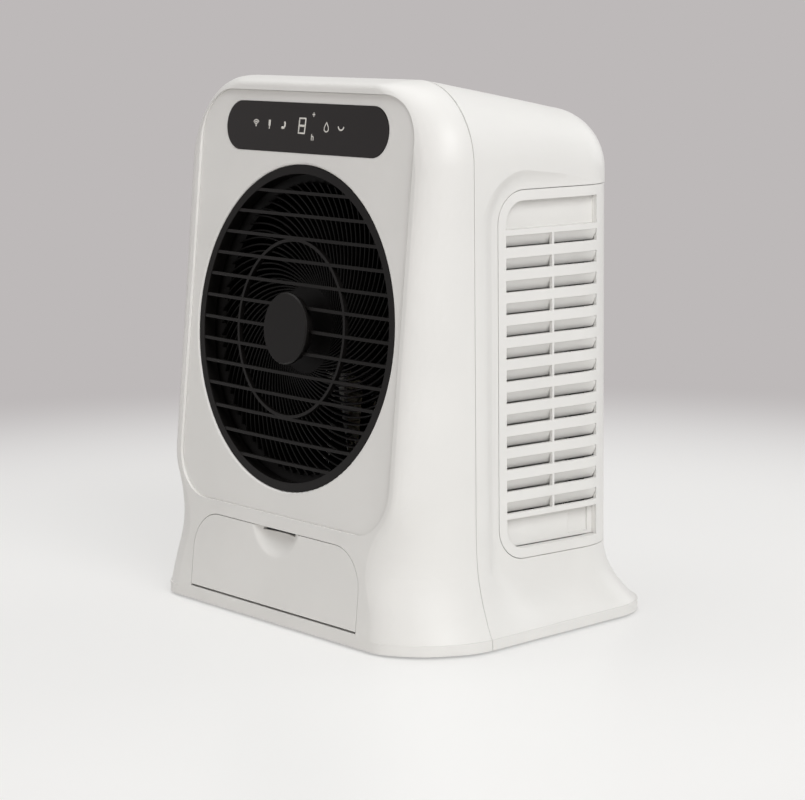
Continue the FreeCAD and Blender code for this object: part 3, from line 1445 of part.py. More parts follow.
sump = new_body("pump_sump")
sump_middle = sump_y + S.sump_depth / 2
valve_z = S.tank_bottom + S.valve_rise
sump_box = new_sketch(sump, "sump_box", offset=plate_top)
draw_rectangle(sump_box, S.sump_width, S.sump_depth, 0, sump_middle)
pad(sump, sump_box, S.sump_height)
sump_hollow = new_sketch(sump, "sump_hollow", offset=plate_top + S.sump_wall)
draw_rectangle(sump_hollow, S.sump_width - 2 * S.sump_wall, S.sump_depth - 2 * S.sump_wall, 0, sump_middle)
pocket(sump, sump_hollow, S.sump_height, reverse=True)
sump_port = new_sketch(sump, "sump_port", "XZ_Plane", offset=-(sump_y + S.sump_wall))
draw_circle(sump_port, S.valve_radius + S.valve_gap, 0, valve_z)
pocket(sump, sump_port, 2 * S.sump_wall, reverse=False, symmetric=True)

pump = new_body("pump")
pump_y = sump_y + S.sump_depth - S.sump_wall - S.fit_gap - S.pump_depth
pump_low = plate_top + S.sump_wall
pump_box = new_sketch(pump, "pump_box", offset=pump_low)
draw_rectangle(pump_box, S.pump_length, S.pump_depth, 0, pump_y + S.pump_depth / 2)
pump_pad = pad(pump, pump_box, S.pump_height)


def pump_edge(edge):
    points = [vertex.Point for vertex in edge.Vertexes]
    return abs(points[0].z - points[1].z) > float(S.pump_height) / 2


round_edges(pump, pump_pad, edge_names(pump_pad.Shape, pump_edge), S.pump_round)
spigot = new_sketch(pump, "pump_spigot", offset=pump_low + S.pump_height)
draw_circle(spigot, S.hose_bore - S.running_gap, 0, pad_back_y + S.hose_bend)
pad(pump, spigot, 2 * S.hose_radius)
intake = new_sketch(pump, "pump_intake", "XZ_Plane", offset=-pump_y)
intake_pitch = 2 * S.intake_width
draw_rectangle(
    intake,
    S.intake_width,
    S.intake_height,
    -(intake_pitch * (S.intake_count - 1) / 2),
    pump_low + S.pump_height / 2,
)
intake_slot = pocket(pump, intake, S.pump_depth / 2, symmetric=True)
intake_row = pump.newObject("PartDesign::LinearPattern", "pump_intake_row")
intake_row.Originals = [intake_slot]
intake_row.Direction = (intake, ["H_Axis"])
bind(intake_row, "Length", intake_pitch * (S.intake_count - 1))
bind(intake_row, "Occurrences", S.intake_count)
pump.Tip = intake_row


def make_pump_hose():
    """A hose from the pump's top, up behind the pad and forward into the tray."""
    back, bend = float(pad_back_y) + float(S.hose_bend), float(S.hose_bend)
    low = float(plate_top) + float(S.sump_wall) + float(S.pump_height)
    high = float(hose_z)
    slant = bend * (1 - math.sqrt(0.5))
    start, turn = Vector(0, back, low), Vector(0, back, high - bend)
    end = Vector(0, back - bend, high)
    path = Part.Wire([
        Part.LineSegment(start, turn).toShape(),
        Part.Arc(turn, Vector(0, back - slant, high - slant), end).toShape(),
    ])

    def tube(radius):
        circle = Part.Wire([Part.makeCircle(radius, start, Vector(0, 0, 1))])
        return path.makePipeShell([circle], True, False)

    feature(tube(float(S.hose_radius)).cut(tube(float(S.hose_bore))), "pump_hose")


make_pump_hose()

# Tank drawer.

tank = new_body("tank_drawer")
tank_middle = tank_y + S.tank_length / 2
tank_height = S.tank_top - S.tank_bottom
tank_box = new_sketch(tank, "tank_box", offset=S.tank_bottom)
draw_rectangle(tank_box, S.tank_width, S.tank_length, 0, tank_middle)
tank_pad = pad(tank, tank_box, tank_height)


def upright_edge(edge):
    points = [vertex.Point for vertex in edge.Vertexes]
    return len(points) == 2 and abs(points[0].z - points[1].z) > float(tank_height) / 2


round_edges(tank, tank_pad, edge_names(tank_pad.Shape, upright_edge), S.tank_corner)
tank_hollow = new_sketch(tank, "tank_hollow", offset=S.tank_bottom + S.tank_wall)
draw_round_rectangle(
    tank_hollow,
    S.tank_width - 2 * S.tank_wall,
    S.tank_length - 2 * S.tank_wall,
    S.tank_corner - S.tank_wall,
    tank_middle,
)
pocket(tank, tank_hollow, tank_height, reverse=True)

valve = revolve("tank_valve", [
    (0, 0),
    (S.valve_radius, 0),
    (S.valve_radius, S.valve_radius + S.sump_wall),
    (S.valve_radius / 2, S.valve_radius + S.sump_wall + S.fit_gap),
    (0, S.valve_radius + S.sump_wall + S.fit_gap),
])
valve.Placement = Placement(Vector(0, float(tank_back_y), float(valve_z)), Rotation(Vector(1, 0, 0), -90))
place(valve, y=tank_back_y, z=valve_z)


def make_drawer_front():
    """The drawer's front: an arched plate with a soft finger scoop, and ribs back to the tank."""
    thick, half = float(S.drawer_thick), float(S.drawer_width) / 2
    low, high = float(S.drawer_bottom), float(S.drawer_top)
    plate = prism(arch(half, low, high, float(S.drawer_corner), -thick), thick)
    radius, depth = float(S.scoop_radius), float(S.scoop_depth)
    centre = Vector(0, high + float(S.scoop_rise), radius - depth)
    bowl = Part.makeSphere(radius + float(S.scoop_wall), centre)
    bowl = bowl.common(block(-half, half, low, high, -2 * radius, -thick / 2))
    plate = plate.fuse(bowl).cut(Part.makeSphere(radius, centre)).removeSplitter()

    def scoop_edge(edge):
        round_edge = hasattr(edge.Curve, "Radius") and abs(edge.Curve.Center.x) < 1e-6
        return round_edge and all(abs(vertex.Point.z) < 1e-6 for vertex in edge.Vertexes)

    plate = plate.makeFillet(float(S.scoop_soft), [edge for edge in plate.Edges if scoop_edge(edge)])
    notch = float(S.notch_width) / 2
    plate = plate.cut(block(-notch, notch, high - float(S.notch_height), FAR, -FAR, FAR))
    plate = leaned(plate, front_y, S.rim_height)
    behind = thick / 2
    top, bottom = float(S.tank_top) - float(S.fit_gap), float(S.tank_bottom)
    side = [
        Vector(0, front_plane_y(bottom) + behind, bottom),
        Vector(0, float(tank_y), bottom),
        Vector(0, float(tank_y), top),
        Vector(0, front_plane_y(top) + behind, top),
    ]
    rib_width = float(S.rib_width)
    rib = Part.Face(Part.makePolygon(side + side[:1])).extrude(Vector(rib_width, 0, 0))
    for sign in (1, -1):
        moved = rib.copy()
        moved.translate(Vector(sign * float(S.rib_place) - rib_width / 2, 0, 0))
        plate = plate.fuse(moved)
    feature(plate.removeSplitter(), "drawer_front")


make_drawer_front()


# Base plate with the drawer's rails, feet, screws and the cord inlet.

def make_base_plate():
    level = float(S.plate_bottom)
    plate = prism(rim_outline(level, float(S.rim_wall) + float(S.fit_gap)), float(S.plate_thick))
    width = float(S.rail_width) / 2
    rail_start, rail_top = tank_y + S.rail_setback, S.tank_bottom - S.fit_gap
    for sign in (1, -1):
        middle = sign * float(S.rail_place)
        rail = block(middle - width, middle + width, rail_start, tank_back_y, level, rail_top)
        plate = plate.fuse(rail)
    feature(plate.removeSplitter(), "base_plate")


def foot_places():
    side = float(S.foot_side)
    return [(x, y) for x in (-side, side) for y in (-float(S.foot_front), float(S.foot_back))]


def discs(places, radius, low, height):
    return Part.makeCompound([Part.makeCylinder(radius, height, Vector(x, y, low)) for x, y in places])


make_base_plate()
feature(discs(foot_places(), float(S.foot_radius), 0.0, float(S.plate_bottom)), "rubber_feet")
screw_low = float(S.rim_gap)
screw_places = [(x - math.copysign(float(S.screw_inset), x), y) for x, y in foot_places()]
screw_height = float(S.plate_bottom) - screw_low
feature(discs(screw_places, float(S.base_screw), screw_low, screw_height), "base_screws")

inlet = revolve("power_inlet", [
    (S.inlet_radius / 2, 0),
    (S.inlet_radius, 0),
    (S.inlet_radius, 2 * S.inlet_radius - S.wall),
    (S.inlet_radius / 2, 2 * S.inlet_radius),
])
inlet.Placement = Placement(
    Vector(-float(S.inlet_side), float(wall_y), float(S.inlet_rise)),
    Rotation(Vector(1, 0, 0), -90),
)
place(inlet, -S.inlet_side, wall_y + S.inlet_setback, S.inlet_rise)

doc.recompute()

for obj in doc.Objects:
    if "Invalid" in obj.State or "Error" in obj.State:
        raise RuntimeError(f"{obj.Label} failed: {obj.State}")
for obj in sub_parts:
    if obj.Shape.isNull() or not obj.Shape.isValid():
        raise RuntimeError(f"{obj.Label} has no valid shape")

os.makedirs("parts", exist_ok=True)
for obj in sub_parts:
    obj.Shape.exportStep(f"parts/{obj.Label}.step")
    print(obj.Label, len(obj.Shape.Solids), round(obj.Shape.Volume))
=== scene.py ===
# %% [markdown]
# A compact evaporative air cooler, dressed for the camera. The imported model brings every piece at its
# real size, in metres, with +Z up and the air outlet facing -Y. This lesson gives the pieces their
# finish, adds what is too fine for the solids, and sets the light and the camera.

# %% Load the model
import json
import math

import bmesh
import bpy
from mathutils import Matrix, Vector


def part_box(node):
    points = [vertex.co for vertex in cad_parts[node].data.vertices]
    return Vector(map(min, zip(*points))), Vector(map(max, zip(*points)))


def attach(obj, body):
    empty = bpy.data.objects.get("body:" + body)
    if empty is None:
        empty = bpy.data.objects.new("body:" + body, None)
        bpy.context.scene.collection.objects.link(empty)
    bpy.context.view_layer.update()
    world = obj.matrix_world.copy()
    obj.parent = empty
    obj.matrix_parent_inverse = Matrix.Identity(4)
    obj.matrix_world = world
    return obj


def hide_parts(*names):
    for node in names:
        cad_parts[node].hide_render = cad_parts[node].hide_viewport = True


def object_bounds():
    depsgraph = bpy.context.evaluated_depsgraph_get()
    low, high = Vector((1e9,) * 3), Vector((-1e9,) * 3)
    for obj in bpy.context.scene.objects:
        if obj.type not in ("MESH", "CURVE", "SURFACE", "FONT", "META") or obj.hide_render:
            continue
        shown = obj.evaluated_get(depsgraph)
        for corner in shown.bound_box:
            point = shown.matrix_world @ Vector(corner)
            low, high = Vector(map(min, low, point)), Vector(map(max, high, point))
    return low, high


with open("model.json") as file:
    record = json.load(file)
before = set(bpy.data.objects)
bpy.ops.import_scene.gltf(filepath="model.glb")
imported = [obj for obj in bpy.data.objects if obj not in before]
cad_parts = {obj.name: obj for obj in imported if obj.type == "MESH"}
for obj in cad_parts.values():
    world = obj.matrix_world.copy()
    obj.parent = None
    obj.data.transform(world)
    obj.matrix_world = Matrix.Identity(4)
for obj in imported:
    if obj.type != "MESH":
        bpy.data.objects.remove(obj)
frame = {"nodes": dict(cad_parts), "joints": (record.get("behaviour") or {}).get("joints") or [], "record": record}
nodes = frame["nodes"]
cad_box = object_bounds()
MM = 0.001
print("nodes:", len(nodes), "box:", [[round(v, 4) for v in corner] for corner in cad_box])

# %% [markdown]
# Most pieces round the outlet lean back with the front. Their places are easiest to give in a leaning
# frame: x to the right, then up along the front, then outwards. The fan's hinge gives both the frame's
# origin, the middle of the outlet, and its outward axis, so it follows the model by itself.

# %% The leaning frame
fan_joint = next(joint for joint in frame["joints"] if joint["name"] == "fan_spin")
outlet_middle = Vector(fan_joint["pos_m"])
outward = Vector(fan_joint["axis"]).normalized()
across = Vector((1, 0, 0))
along = outward.cross(across)
leaning = Matrix((across, along, outward)).transposed().to_4x4()
leaning.translation = outlet_middle
print("front leans", round(math.degrees(math.asin(outward.z)), 2), "degrees")

# %% [markdown]
# A few small helpers serve every material and node tree. Colours are written as the sRGB hex values that
# a painter would pick, and the shader wants them linear. The others add a node with its settings and
# links, set the inputs of a node that is there, and start a material.

# %% Colour and node helpers


def linear(code):
    """An sRGB hex code such as "#e8e6e2" as linear RGBA."""
    parts = [int(code[i:i + 2], 16) / 255 for i in (1, 3, 5)]
    return (*[c / 12.92 if c <= 0.04045 else ((c + 0.055) / 1.055) ** 2.4 for c in parts], 1.0)


def set_inputs(tree, node, inputs):
    """Sets inputs. A value is a number, a colour, another node's output socket or a list of sockets."""
    for name, value in inputs.items():
        for source in value if isinstance(value, list) else [value]:
            if isinstance(source, bpy.types.NodeSocket):
                tree.links.new(source, node.inputs[name])
            else:
                node.inputs[name].default_value = source


def add(tree, kind, inputs=None, **settings):
    """Adds one node, with its settings first and then its inputs."""
    node = tree.nodes.new(kind)
    for name, value in settings.items():
        setattr(node, name, value)
    set_inputs(tree, node, inputs or {})
    return node


def new_material(name):
    """An empty node material, with its output and a Principled shader joined."""
    material = bpy.data.materials.new(name)
    material.use_nodes = True
    tree = material.node_tree
    tree.nodes.clear()
    shader = add(tree, "ShaderNodeBsdfPrincipled")
    add(tree, "ShaderNodeOutputMaterial", {"Surface": shader.outputs["BSDF"]})
    return material, tree, shader


def node_of(tree, kind):
    """The tree's first node of a type."""
    return next(node for node in tree.nodes if node.type == kind)


print("white reads", [round(c, 3) for c in linear("#e8e6e2")])

# %% [markdown]
# Injection-moulded ABS is the cooler's white skin. The mould was spark-eroded, which leaves a fine even
# grain that softens every reflection, and thick walls sink and swell a little, so the gloss is not quite
# even. Noise on Object coordinates gives both: grains of 0.7 mm, drawn coarser than the real 0.1 mm so
# that they show at all, and slow waves of 60 mm. The Bevel node rounds the light on moulded edges.

# %% White moulded plastic
# Nearly all values of a noise lie between these two.
NOISE_LOW, NOISE_HIGH = 0.3, 0.7
WAVE_MM, WAVE_GLOSS, MOULD_DETAIL, EDGE_RAYS = 60.0, 0.03, 3.0, 6


def moulded(name, colour, shade, rough, grain_mm, relief_mm, edge_mm, ior):
    """A moulded plastic: two near colours, uneven gloss, a fine grain and soft edges."""
    material, tree, shader = new_material(name)
    place = add(tree, "ShaderNodeTexCoord").outputs["Object"]
    wave = add(tree, "ShaderNodeTexNoise", {"Vector": place, "Scale": 1 / (WAVE_MM * MM)})
    swell = add(tree, "ShaderNodeMapRange", {
        "Value": wave.outputs["Fac"], "From Min": NOISE_LOW, "From Max": NOISE_HIGH,
    }).outputs["Result"]
    tint = add(tree, "ShaderNodeMix", {
        "Factor": swell, "A": linear(colour), "B": linear(shade),
    }, data_type="RGBA")
    gloss = add(tree, "ShaderNodeMapRange", {
        "Value": swell, "To Min": rough - WAVE_GLOSS, "To Max": rough + WAVE_GLOSS,
    })
    grain = add(tree, "ShaderNodeTexNoise", {
        "Vector": place, "Scale": 1 / (grain_mm * MM), "Detail": MOULD_DETAIL,
    })
    edge = add(tree, "ShaderNodeBevel", {"Radius": edge_mm * MM}, samples=EDGE_RAYS)
    bump = add(tree, "ShaderNodeBump", {
        "Height": grain.outputs["Fac"], "Distance": relief_mm * MM, "Strength": 1.0,
        "Normal": edge.outputs["Normal"],
    })
    set_inputs(tree, shader, {
        "Base Color": tint.outputs["Result"], "Roughness": gloss.outputs["Result"],
        "Normal": bump.outputs["Normal"], "IOR": ior,
    })
    return material


# Bright and a little warm, with broad soft highlights.
white_abs = moulded("white_abs_moulded", "#eae9e6", "#e6e5e2", rough=0.42, grain_mm=0.7,
                    relief_mm=0.006, edge_mm=0.5, ior=1.53)
print("white plastic:", white_abs.name, "with waves of", WAVE_MM, "mm")

# %% [markdown]
# Six more plastics share that recipe. The grille and the fan behind it are black polypropylene, and the
# inner parts are duller. The blacks have a lower IOR than the polymer's 1.49, because a coarse grain
# scatters most of the sheen and the eye sees a deeper black.

# %% Other moulded plastics
# Deep black, with a satin sheen along the bars and the ring.
black_pp = moulded("black_polypropylene_moulded", "#0b0908", "#0e0c0b", rough=0.46, grain_mm=0.7,
                   relief_mm=0.010, edge_mm=0.25, ior=1.32)
# The same black, painted darker and with less sheen: painted shade for the dark behind the bars.
black_pp_painted_shade = moulded("black_polypropylene_painted_shade", "#060505", "#080706", rough=0.46, grain_mm=0.7,
                   relief_mm=0.010, edge_mm=0.15, ior=1.24)
# A greyer white with a dry surface.
inner_abs = moulded("inner_abs_moulded", "#d9d8d5", "#d2d1ce", rough=0.50, grain_mm=0.9,
                    relief_mm=0.012, edge_mm=0.3, ior=1.53)
# A cool, milky white with a smoother gloss.
tank_pp = moulded("tank_polypropylene", "#dfe3e4", "#d6dadb", rough=0.34, grain_mm=0.9,
                  relief_mm=0.006, edge_mm=0.4, ior=1.49)
# Charcoal with a dry surface.
dark_abs = moulded("dark_abs_moulded", "#2b2b2d", "#323234", rough=0.50, grain_mm=0.9,
                   relief_mm=0.012, edge_mm=0.3, ior=1.53)
# Dark grey and dull.
filter_pp = moulded("filter_polypropylene", "#47474a", "#3f3f42", rough=0.55, grain_mm=0.9,
                    relief_mm=0.012, edge_mm=0.2, ior=1.49)
print("black plastics:", black_pp.name, black_pp_painted_shade.name)

# %% [markdown]
# The display window is tinted acrylic, polished in the mould. It reads as one dark, slightly warm slab
# with a crisp reflection, so it has a low roughness, hardly any grain and a faint waviness only.

# %% Display acrylic
SHEEN_MM, SHEEN_LOW, SHEEN_HIGH = 25.0, 0.16, 0.22
RIPPLE_MM, RIPPLE_HEIGHT_MM, RIPPLE_STRENGTH = 18.0, 0.01, 0.3
acrylic, tree, shader = new_material("tinted_acrylic_polished")
place = add(tree, "ShaderNodeTexCoord").outputs["Object"]
sheen = add(tree, "ShaderNodeTexNoise", {"Vector": place, "Scale": 1 / (SHEEN_MM * MM)})
gloss = add(tree, "ShaderNodeMapRange", {
    "Value": sheen.outputs["Fac"], "From Min": NOISE_LOW, "From Max": NOISE_HIGH,
    "To Min": SHEEN_LOW, "To Max": SHEEN_HIGH,
})
waviness = add(tree, "ShaderNodeTexNoise", {"Vector": place, "Scale": 1 / (RIPPLE_MM * MM)})
ripple = add(tree, "ShaderNodeBump", {
    "Height": waviness.outputs["Fac"], "Distance": RIPPLE_HEIGHT_MM * MM,
    "Strength": RIPPLE_STRENGTH,
})
set_inputs(tree, shader, {
    "Base Color": linear("#100b09"), "Roughness": gloss.outputs["Result"],
    "Normal": ripple.outputs["Normal"], "IOR": 1.45,
})
print("display:", acrylic.name)

# %% [markdown]
# The small inner parts are seen through the louvres, with the drawer out or with the cover off. They are
# plated, painted, pressed or extruded, so they have one even grain and none of the slow waves of a
# moulded wall. Two near colours and a roughness that follow the same noise keep each of them from
# looking like flat paint. The grains of 0.8 to 3 mm are coarser than real ones, so that they show.

# %% Inner finishes
GRAIN_GLOSS, GRAIN_DETAIL = 0.05, 4.0


def grained(name, colour, shade, rough, grain_mm, relief_mm, metallic=0.0):
    """A finish with two near colours, an uneven gloss and a relief, all from one grain."""
    material, tree, shader = new_material(name)
    place = add(tree, "ShaderNodeTexCoord").outputs["Object"]
    grain = add(tree, "ShaderNodeTexNoise", {
        "Vector": place, "Scale": 1 / (grain_mm * MM), "Detail": GRAIN_DETAIL,
    }).outputs["Fac"]
    speck = add(tree, "ShaderNodeMapRange", {
        "Value": grain, "From Min": NOISE_LOW, "From Max": NOISE_HIGH,
    }).outputs["Result"]
    tint = add(tree, "ShaderNodeMix", {
        "Factor": speck, "A": linear(colour), "B": linear(shade),
    }, data_type="RGBA")
    gloss = add(tree, "ShaderNodeMapRange", {
        "Value": speck, "To Min": rough - GRAIN_GLOSS, "To Max": rough + GRAIN_GLOSS,
    })
    bump = add(tree, "ShaderNodeBump", {"Height": grain, "Distance": relief_mm * MM, "Strength": 1.0})
    set_inputs(tree, shader, {
        "Base Color": tint.outputs["Result"], "Roughness": gloss.outputs["Result"],
        "Normal": bump.outputs["Normal"], "Metallic": metallic,
    })
    return material


# Pale grey metal with blurred reflections.
plated_steel = grained("zinc_plated_steel", "#b9babb", "#a9aaac", rough=0.32, grain_mm=0.8,
                       relief_mm=0.004, metallic=1.0)
# Dark and slightly shiny, with a faint orange peel.
motor_enamel = grained("motor_can_enamel", "#3a3b3d", "#333436", rough=0.42, grain_mm=1.5,
                       relief_mm=0.02)
# Green lacquer with an even gloss.
board_mask = grained("circuit_board_mask", "#1e5a35", "#184d2c", rough=0.38, grain_mm=3.0,
                     relief_mm=0.02)
# Matt black that hardly shines at all.
foot_rubber = grained("foot_rubber", "#2a2a2a", "#222222", rough=0.75, grain_mm=0.8, relief_mm=0.03)
# Milky, soft and fairly glossy.
hose_pvc = grained("hose_pvc", "#d4d4cf", "#c8c8c3", rough=0.35, grain_mm=2.0, relief_mm=0.01)
print("inner finishes:", plated_steel.name, motor_enamel.name)

# %% [markdown]
# The cooling pad is made of cellulose paper. Wet paper lets light through: the eye sees an off-white,
# dull sheet that glows a little where it is lit from behind. A share of a translucent shader, mixed with
# the plain one, gives that glow at once, where light scattered inside the sheet would be slow to render.

# %% Cooling paper
GLOW_SHARE = 0.45
pad_paper = grained("corrugated_cellulose_paper", "#e6e2d9", "#dad5ca", rough=0.85, grain_mm=1.2,
                    relief_mm=0.10)
tree = pad_paper.node_tree
through = add(tree, "ShaderNodeBsdfTranslucent", {"Color": linear("#efe9dd")})
sheet_light = add(tree, "ShaderNodeMixShader", {
    "Fac": GLOW_SHARE, 1: node_of(tree, "BSDF_PRINCIPLED").outputs["BSDF"], 2: through.outputs["BSDF"],
})
set_inputs(tree, node_of(tree, "OUTPUT_MATERIAL"), {"Surface": sheet_light.outputs["Shader"]})
print("paper:", pad_paper.name)

# %% [markdown]
# Each piece takes the finish of its record slot, so a scene that repaints a slot finds all its pieces.

# %% Finishes on the solids
FINISH = {
    "white_plastic": white_abs,
    "black_plastic": black_pp,
    "display_plastic": acrylic,
    "circuit_board": board_mask,
    "filter_plastic": filter_pp,
    "motor_can": motor_enamel,
    "steel": plated_steel,
    "nut_plastic": dark_abs,
    "pad_paper": pad_paper,
    "inner_plastic": inner_abs,
    "tank_plastic": tank_pp,
    "hose_rubber": hose_pvc,
    "foot_rubber": foot_rubber,
}
for entry in frame["record"]["subparts"]:
    for slot in nodes[entry["node"]].material_slots:
        slot.material = FINISH[entry["material_slot"]]
# The guard and the fan behind the grille take that darker black: painted shade for the dark behind the bars.
for name in ("spiral_guard", "fan_impeller", "fan_shroud"):
    for slot in nodes[name].material_slots:
        slot.material = black_pp_painted_shade

# %% [markdown]
# The solids arrive as loose flat triangles. A moulded surface must shade smoothly across them, yet keep
# its real edges crisp. A small node tree joins the triangles and marks an edge sharp where the faces
# turn by more than an angle, and weighted normals then keep the wide flat faces truly flat.

# %% Smooth shading on the solids
SHARP_TURN, WELD, FLAT_WEIGHT = math.radians(28), 0.001 * MM, 50


def node_group(name, *sockets):
    """A tree with a geometry in and out and named inputs, the inputs' identifiers and its first node."""
    group = bpy.data.node_groups.new(name, "GeometryNodeTree")
    group.interface.new_socket("Geometry", in_out="INPUT", socket_type="NodeSocketGeometry")
    keys = {}
    for label, kind in sockets:
        socket = group.interface.new_socket(label, in_out="INPUT", socket_type=f"NodeSocket{kind}")
        keys[label] = socket.identifier
    group.interface.new_socket("Geometry", in_out="OUTPUT", socket_type="NodeSocketGeometry")
    return group, keys, add(group, "NodeGroupInput")


shading, shading_keys, start = node_group("moulded_shading", ("Turn", "Float"))
joined = add(shading, "GeometryNodeMergeByDistance", {
    "Geometry": start.outputs["Geometry"], "Distance": WELD,
})
angle = add(shading, "GeometryNodeInputMeshEdgeAngle")
gentle = add(shading, "FunctionNodeCompare", {
    "A": angle.outputs["Unsigned Angle"], "B": start.outputs["Turn"],
}, data_type="FLOAT", operation="LESS_EQUAL")
faces = add(shading, "GeometryNodeSetShadeSmooth", {
    "Geometry": joined.outputs["Geometry"],
}, domain="FACE")
edges = add(shading, "GeometryNodeSetShadeSmooth", {
    "Geometry": faces.outputs["Geometry"], "Shade Smooth": gentle.outputs["Result"],
}, domain="EDGE")
add(shading, "NodeGroupOutput", {"Geometry": edges.outputs["Geometry"]})
for solid in nodes.values():
    smooth = solid.modifiers.new("moulded_shading", "NODES")
    smooth.node_group = shading
    smooth[shading_keys["Turn"]] = SHARP_TURN
    flat = solid.modifiers.new("flat_faces", "WEIGHTED_NORMAL")
    flat.keep_sharp = True
    flat.weight = FLAT_WEIGHT
print("smooth solids:", len(nodes))

# %% [markdown]
# The display lights up a row of signs behind its dark acrylic: air flow, temperature, night, a digit
# with its plus and hour marks, a drop and an arc. They read as crisp off-white prints. Each sign is a
# few pen strokes, drawn in millimetres from the display's middle. Text objects would need a font, so the
# digit is drawn in segments.

# %% Strokes of the signs
DROP_TAPER = 1.3


def arc(x, y, radius, start, end, steps=14):
    """Points along an arc, angles in degrees."""
    turns = [math.radians(start + (end - start) * step / steps) for step in range(steps + 1)]
    return [(x + radius * math.cos(turn), y + radius * math.sin(turn)) for turn in turns]


def drop(x, y, width, height, steps=28):
    """Points round a drop with its tip at the top."""
    turns = [2 * math.pi * step / steps for step in range(steps)]
    return [
        (width * math.sin(turn) * math.sin(turn / 2) ** DROP_TAPER + x, height * math.cos(turn) + y)
        for turn in turns
    ]


air_flow = [arc(-50.8, 0.1, radius, 38, 142) for radius in (1.25, 2.4, 3.55)]
air_source = arc(-50.8, 0.1, 0.3, 0, 330, 11)
gauge_stem, gauge_body = [(-36.7, -1.5), (-36.7, 0.4)], [(-36.7, 0.4), (-36.7, 4.0)]
night = arc(-22.6, 1.6, 2.1, -130, 50)
digit_width, digit_height, digit_slant = 6.2, 9.0, 0.08
digit_corners = [(-1, -1), (1, -1), (1, 0), (1, 1), (-1, 1), (-1, 0)]
digit = [
    (x * digit_width / 2 + digit_slant * y * digit_height / 2 - 2.9, y * digit_height / 2 + 1.4)
    for x, y in digit_corners
]
digit_bar = [digit[5], digit[2]]
plus = [[(6.9, 8.5), (9.7, 8.5)], [(8.3, 7.1), (8.3, 9.9)]]
hour = [[(7.3, -7.1), (7.3, -3.3)], [(7.3, -5.4)] + arc(8.2, -5.5, 0.9, 150, 0, 8) + [(9.1, -7.1)]]
smile = arc(36.05, 2.9, 2.9, 195, 345)
# Strokes by the nib's width in millimetres: open ones, then closed ones.
OPEN_STROKES = {
    0.7: air_flow + plus + hour,
    0.9: [smile, gauge_stem],
    1.3: [digit_bar],
    1.5: [night],
    2.1: [gauge_body],
}
CLOSED_STROKES = {
    0.7: [drop(21.6, 1.35, 2.9, 2.8), air_source],
    1.3: [digit],
}
print("strokes:", sum(len(s) for group in (OPEN_STROKES, CLOSED_STROKES) for s in group.values()))

# %% [markdown]
# The signs are screen printed in a matt off-white ink, lit faintly from behind. The eye sees an even
# tone, a little broken by the screen's 0.3 mm mesh, which is drawn twice as coarse so that it shows.

# %% Ink of the signs
SCREEN_MM, BACKLIGHT, INK_ROUGHNESS = 0.6, 0.12, 0.6
ink, tree, shader = new_material("screen_print_ink")
place = add(tree, "ShaderNodeTexCoord").outputs["Object"]
dots = add(tree, "ShaderNodeTexNoise", {"Vector": place, "Scale": 1 / (SCREEN_MM * MM)})
density = add(tree, "ShaderNodeMapRange", {
    "Value": dots.outputs["Fac"], "From Min": NOISE_LOW, "From Max": NOISE_HIGH,
})
tone = add(tree, "ShaderNodeMix", {
    "Factor": density.outputs["Result"], "A": linear("#d9d6d0"), "B": linear("#cbc8c2"),
}, data_type="RGBA").outputs["Result"]
set_inputs(tree, shader, {
    "Base Color": tone, "Emission Color": tone, "Emission Strength": BACKLIGHT,
    "Roughness": INK_ROUGHNESS,
})
print("ink:", ink.name)

# %% [markdown]
# The nib is a flat rectangle, as wide as the stroke and only 0.04 mm high, which is what a screen print
# builds up. Curve to Mesh sweeps it along every stroke and closes the ends, so one node tree draws them
# all. A second helper runs a tree on an object and keeps the result as a plain mesh, which the export
# needs.

# %% Pen for the signs
PRINT_HEIGHT = 0.04 * MM


def grown(holder, group, keys, **inputs):
    """Runs a node tree on an object and returns the result as a plain mesh with one material."""
    bpy.context.collection.objects.link(holder)
    modifier = holder.modifiers.new(group.name, "NODES")
    modifier.node_group = group
    for label, value in inputs.items():
        modifier[keys[label]] = value
    graph = bpy.context.evaluated_depsgraph_get()
    mesh = bpy.data.meshes.new_from_object(holder.evaluated_get(graph))
    bpy.data.objects.remove(holder)
    material = next(material for material in mesh.materials if material)
    mesh.materials.clear()
    mesh.materials.append(material)
    mesh.polygons.foreach_set("material_index", [0] * len(mesh.polygons))
    return mesh


pen, pen_keys, start = node_group(
    "flat_nib", ("Width", "Float"), ("Height", "Float"), ("Ink", "Material"),
)
nib = add(pen, "GeometryNodeCurvePrimitiveQuadrilateral", {
    "Width": start.outputs["Width"], "Height": start.outputs["Height"],
}, mode="RECTANGLE")
swept = add(pen, "GeometryNodeCurveToMesh", {
    "Curve": start.outputs["Geometry"], "Profile Curve": nib.outputs["Curve"], "Fill Caps": True,
})
real = add(pen, "GeometryNodeRealizeInstances", {"Geometry": swept.outputs["Mesh"]})
inked = add(pen, "GeometryNodeSetMaterial", {
    "Geometry": real.outputs["Geometry"], "Material": start.outputs["Ink"],
})
add(pen, "NodeGroupOutput", {"Geometry": inked.outputs["Geometry"]})
print("pen inputs:", list(pen_keys))

# %% [markdown]
# The strokes of one width run through the pen together, as the splines of one curve. The signs are
# drawn flat, then laid on the display: its own vertices, seen in the leaning frame, give its middle and
# the height of its face.

# %% Signs on the display


def plain_mesh(name, shape, material):
    """A bmesh as a mesh with one material. The bmesh is freed."""
    mesh = bpy.data.meshes.new(name)
    shape.to_mesh(mesh)
    shape.free()
    mesh.materials.append(material)
    return mesh


def shown(name, mesh):
    """An object at the origin, whose place is in its mesh, linked to the scene."""
    piece = bpy.data.objects.new(name, mesh)
    bpy.context.collection.objects.link(piece)
    return piece


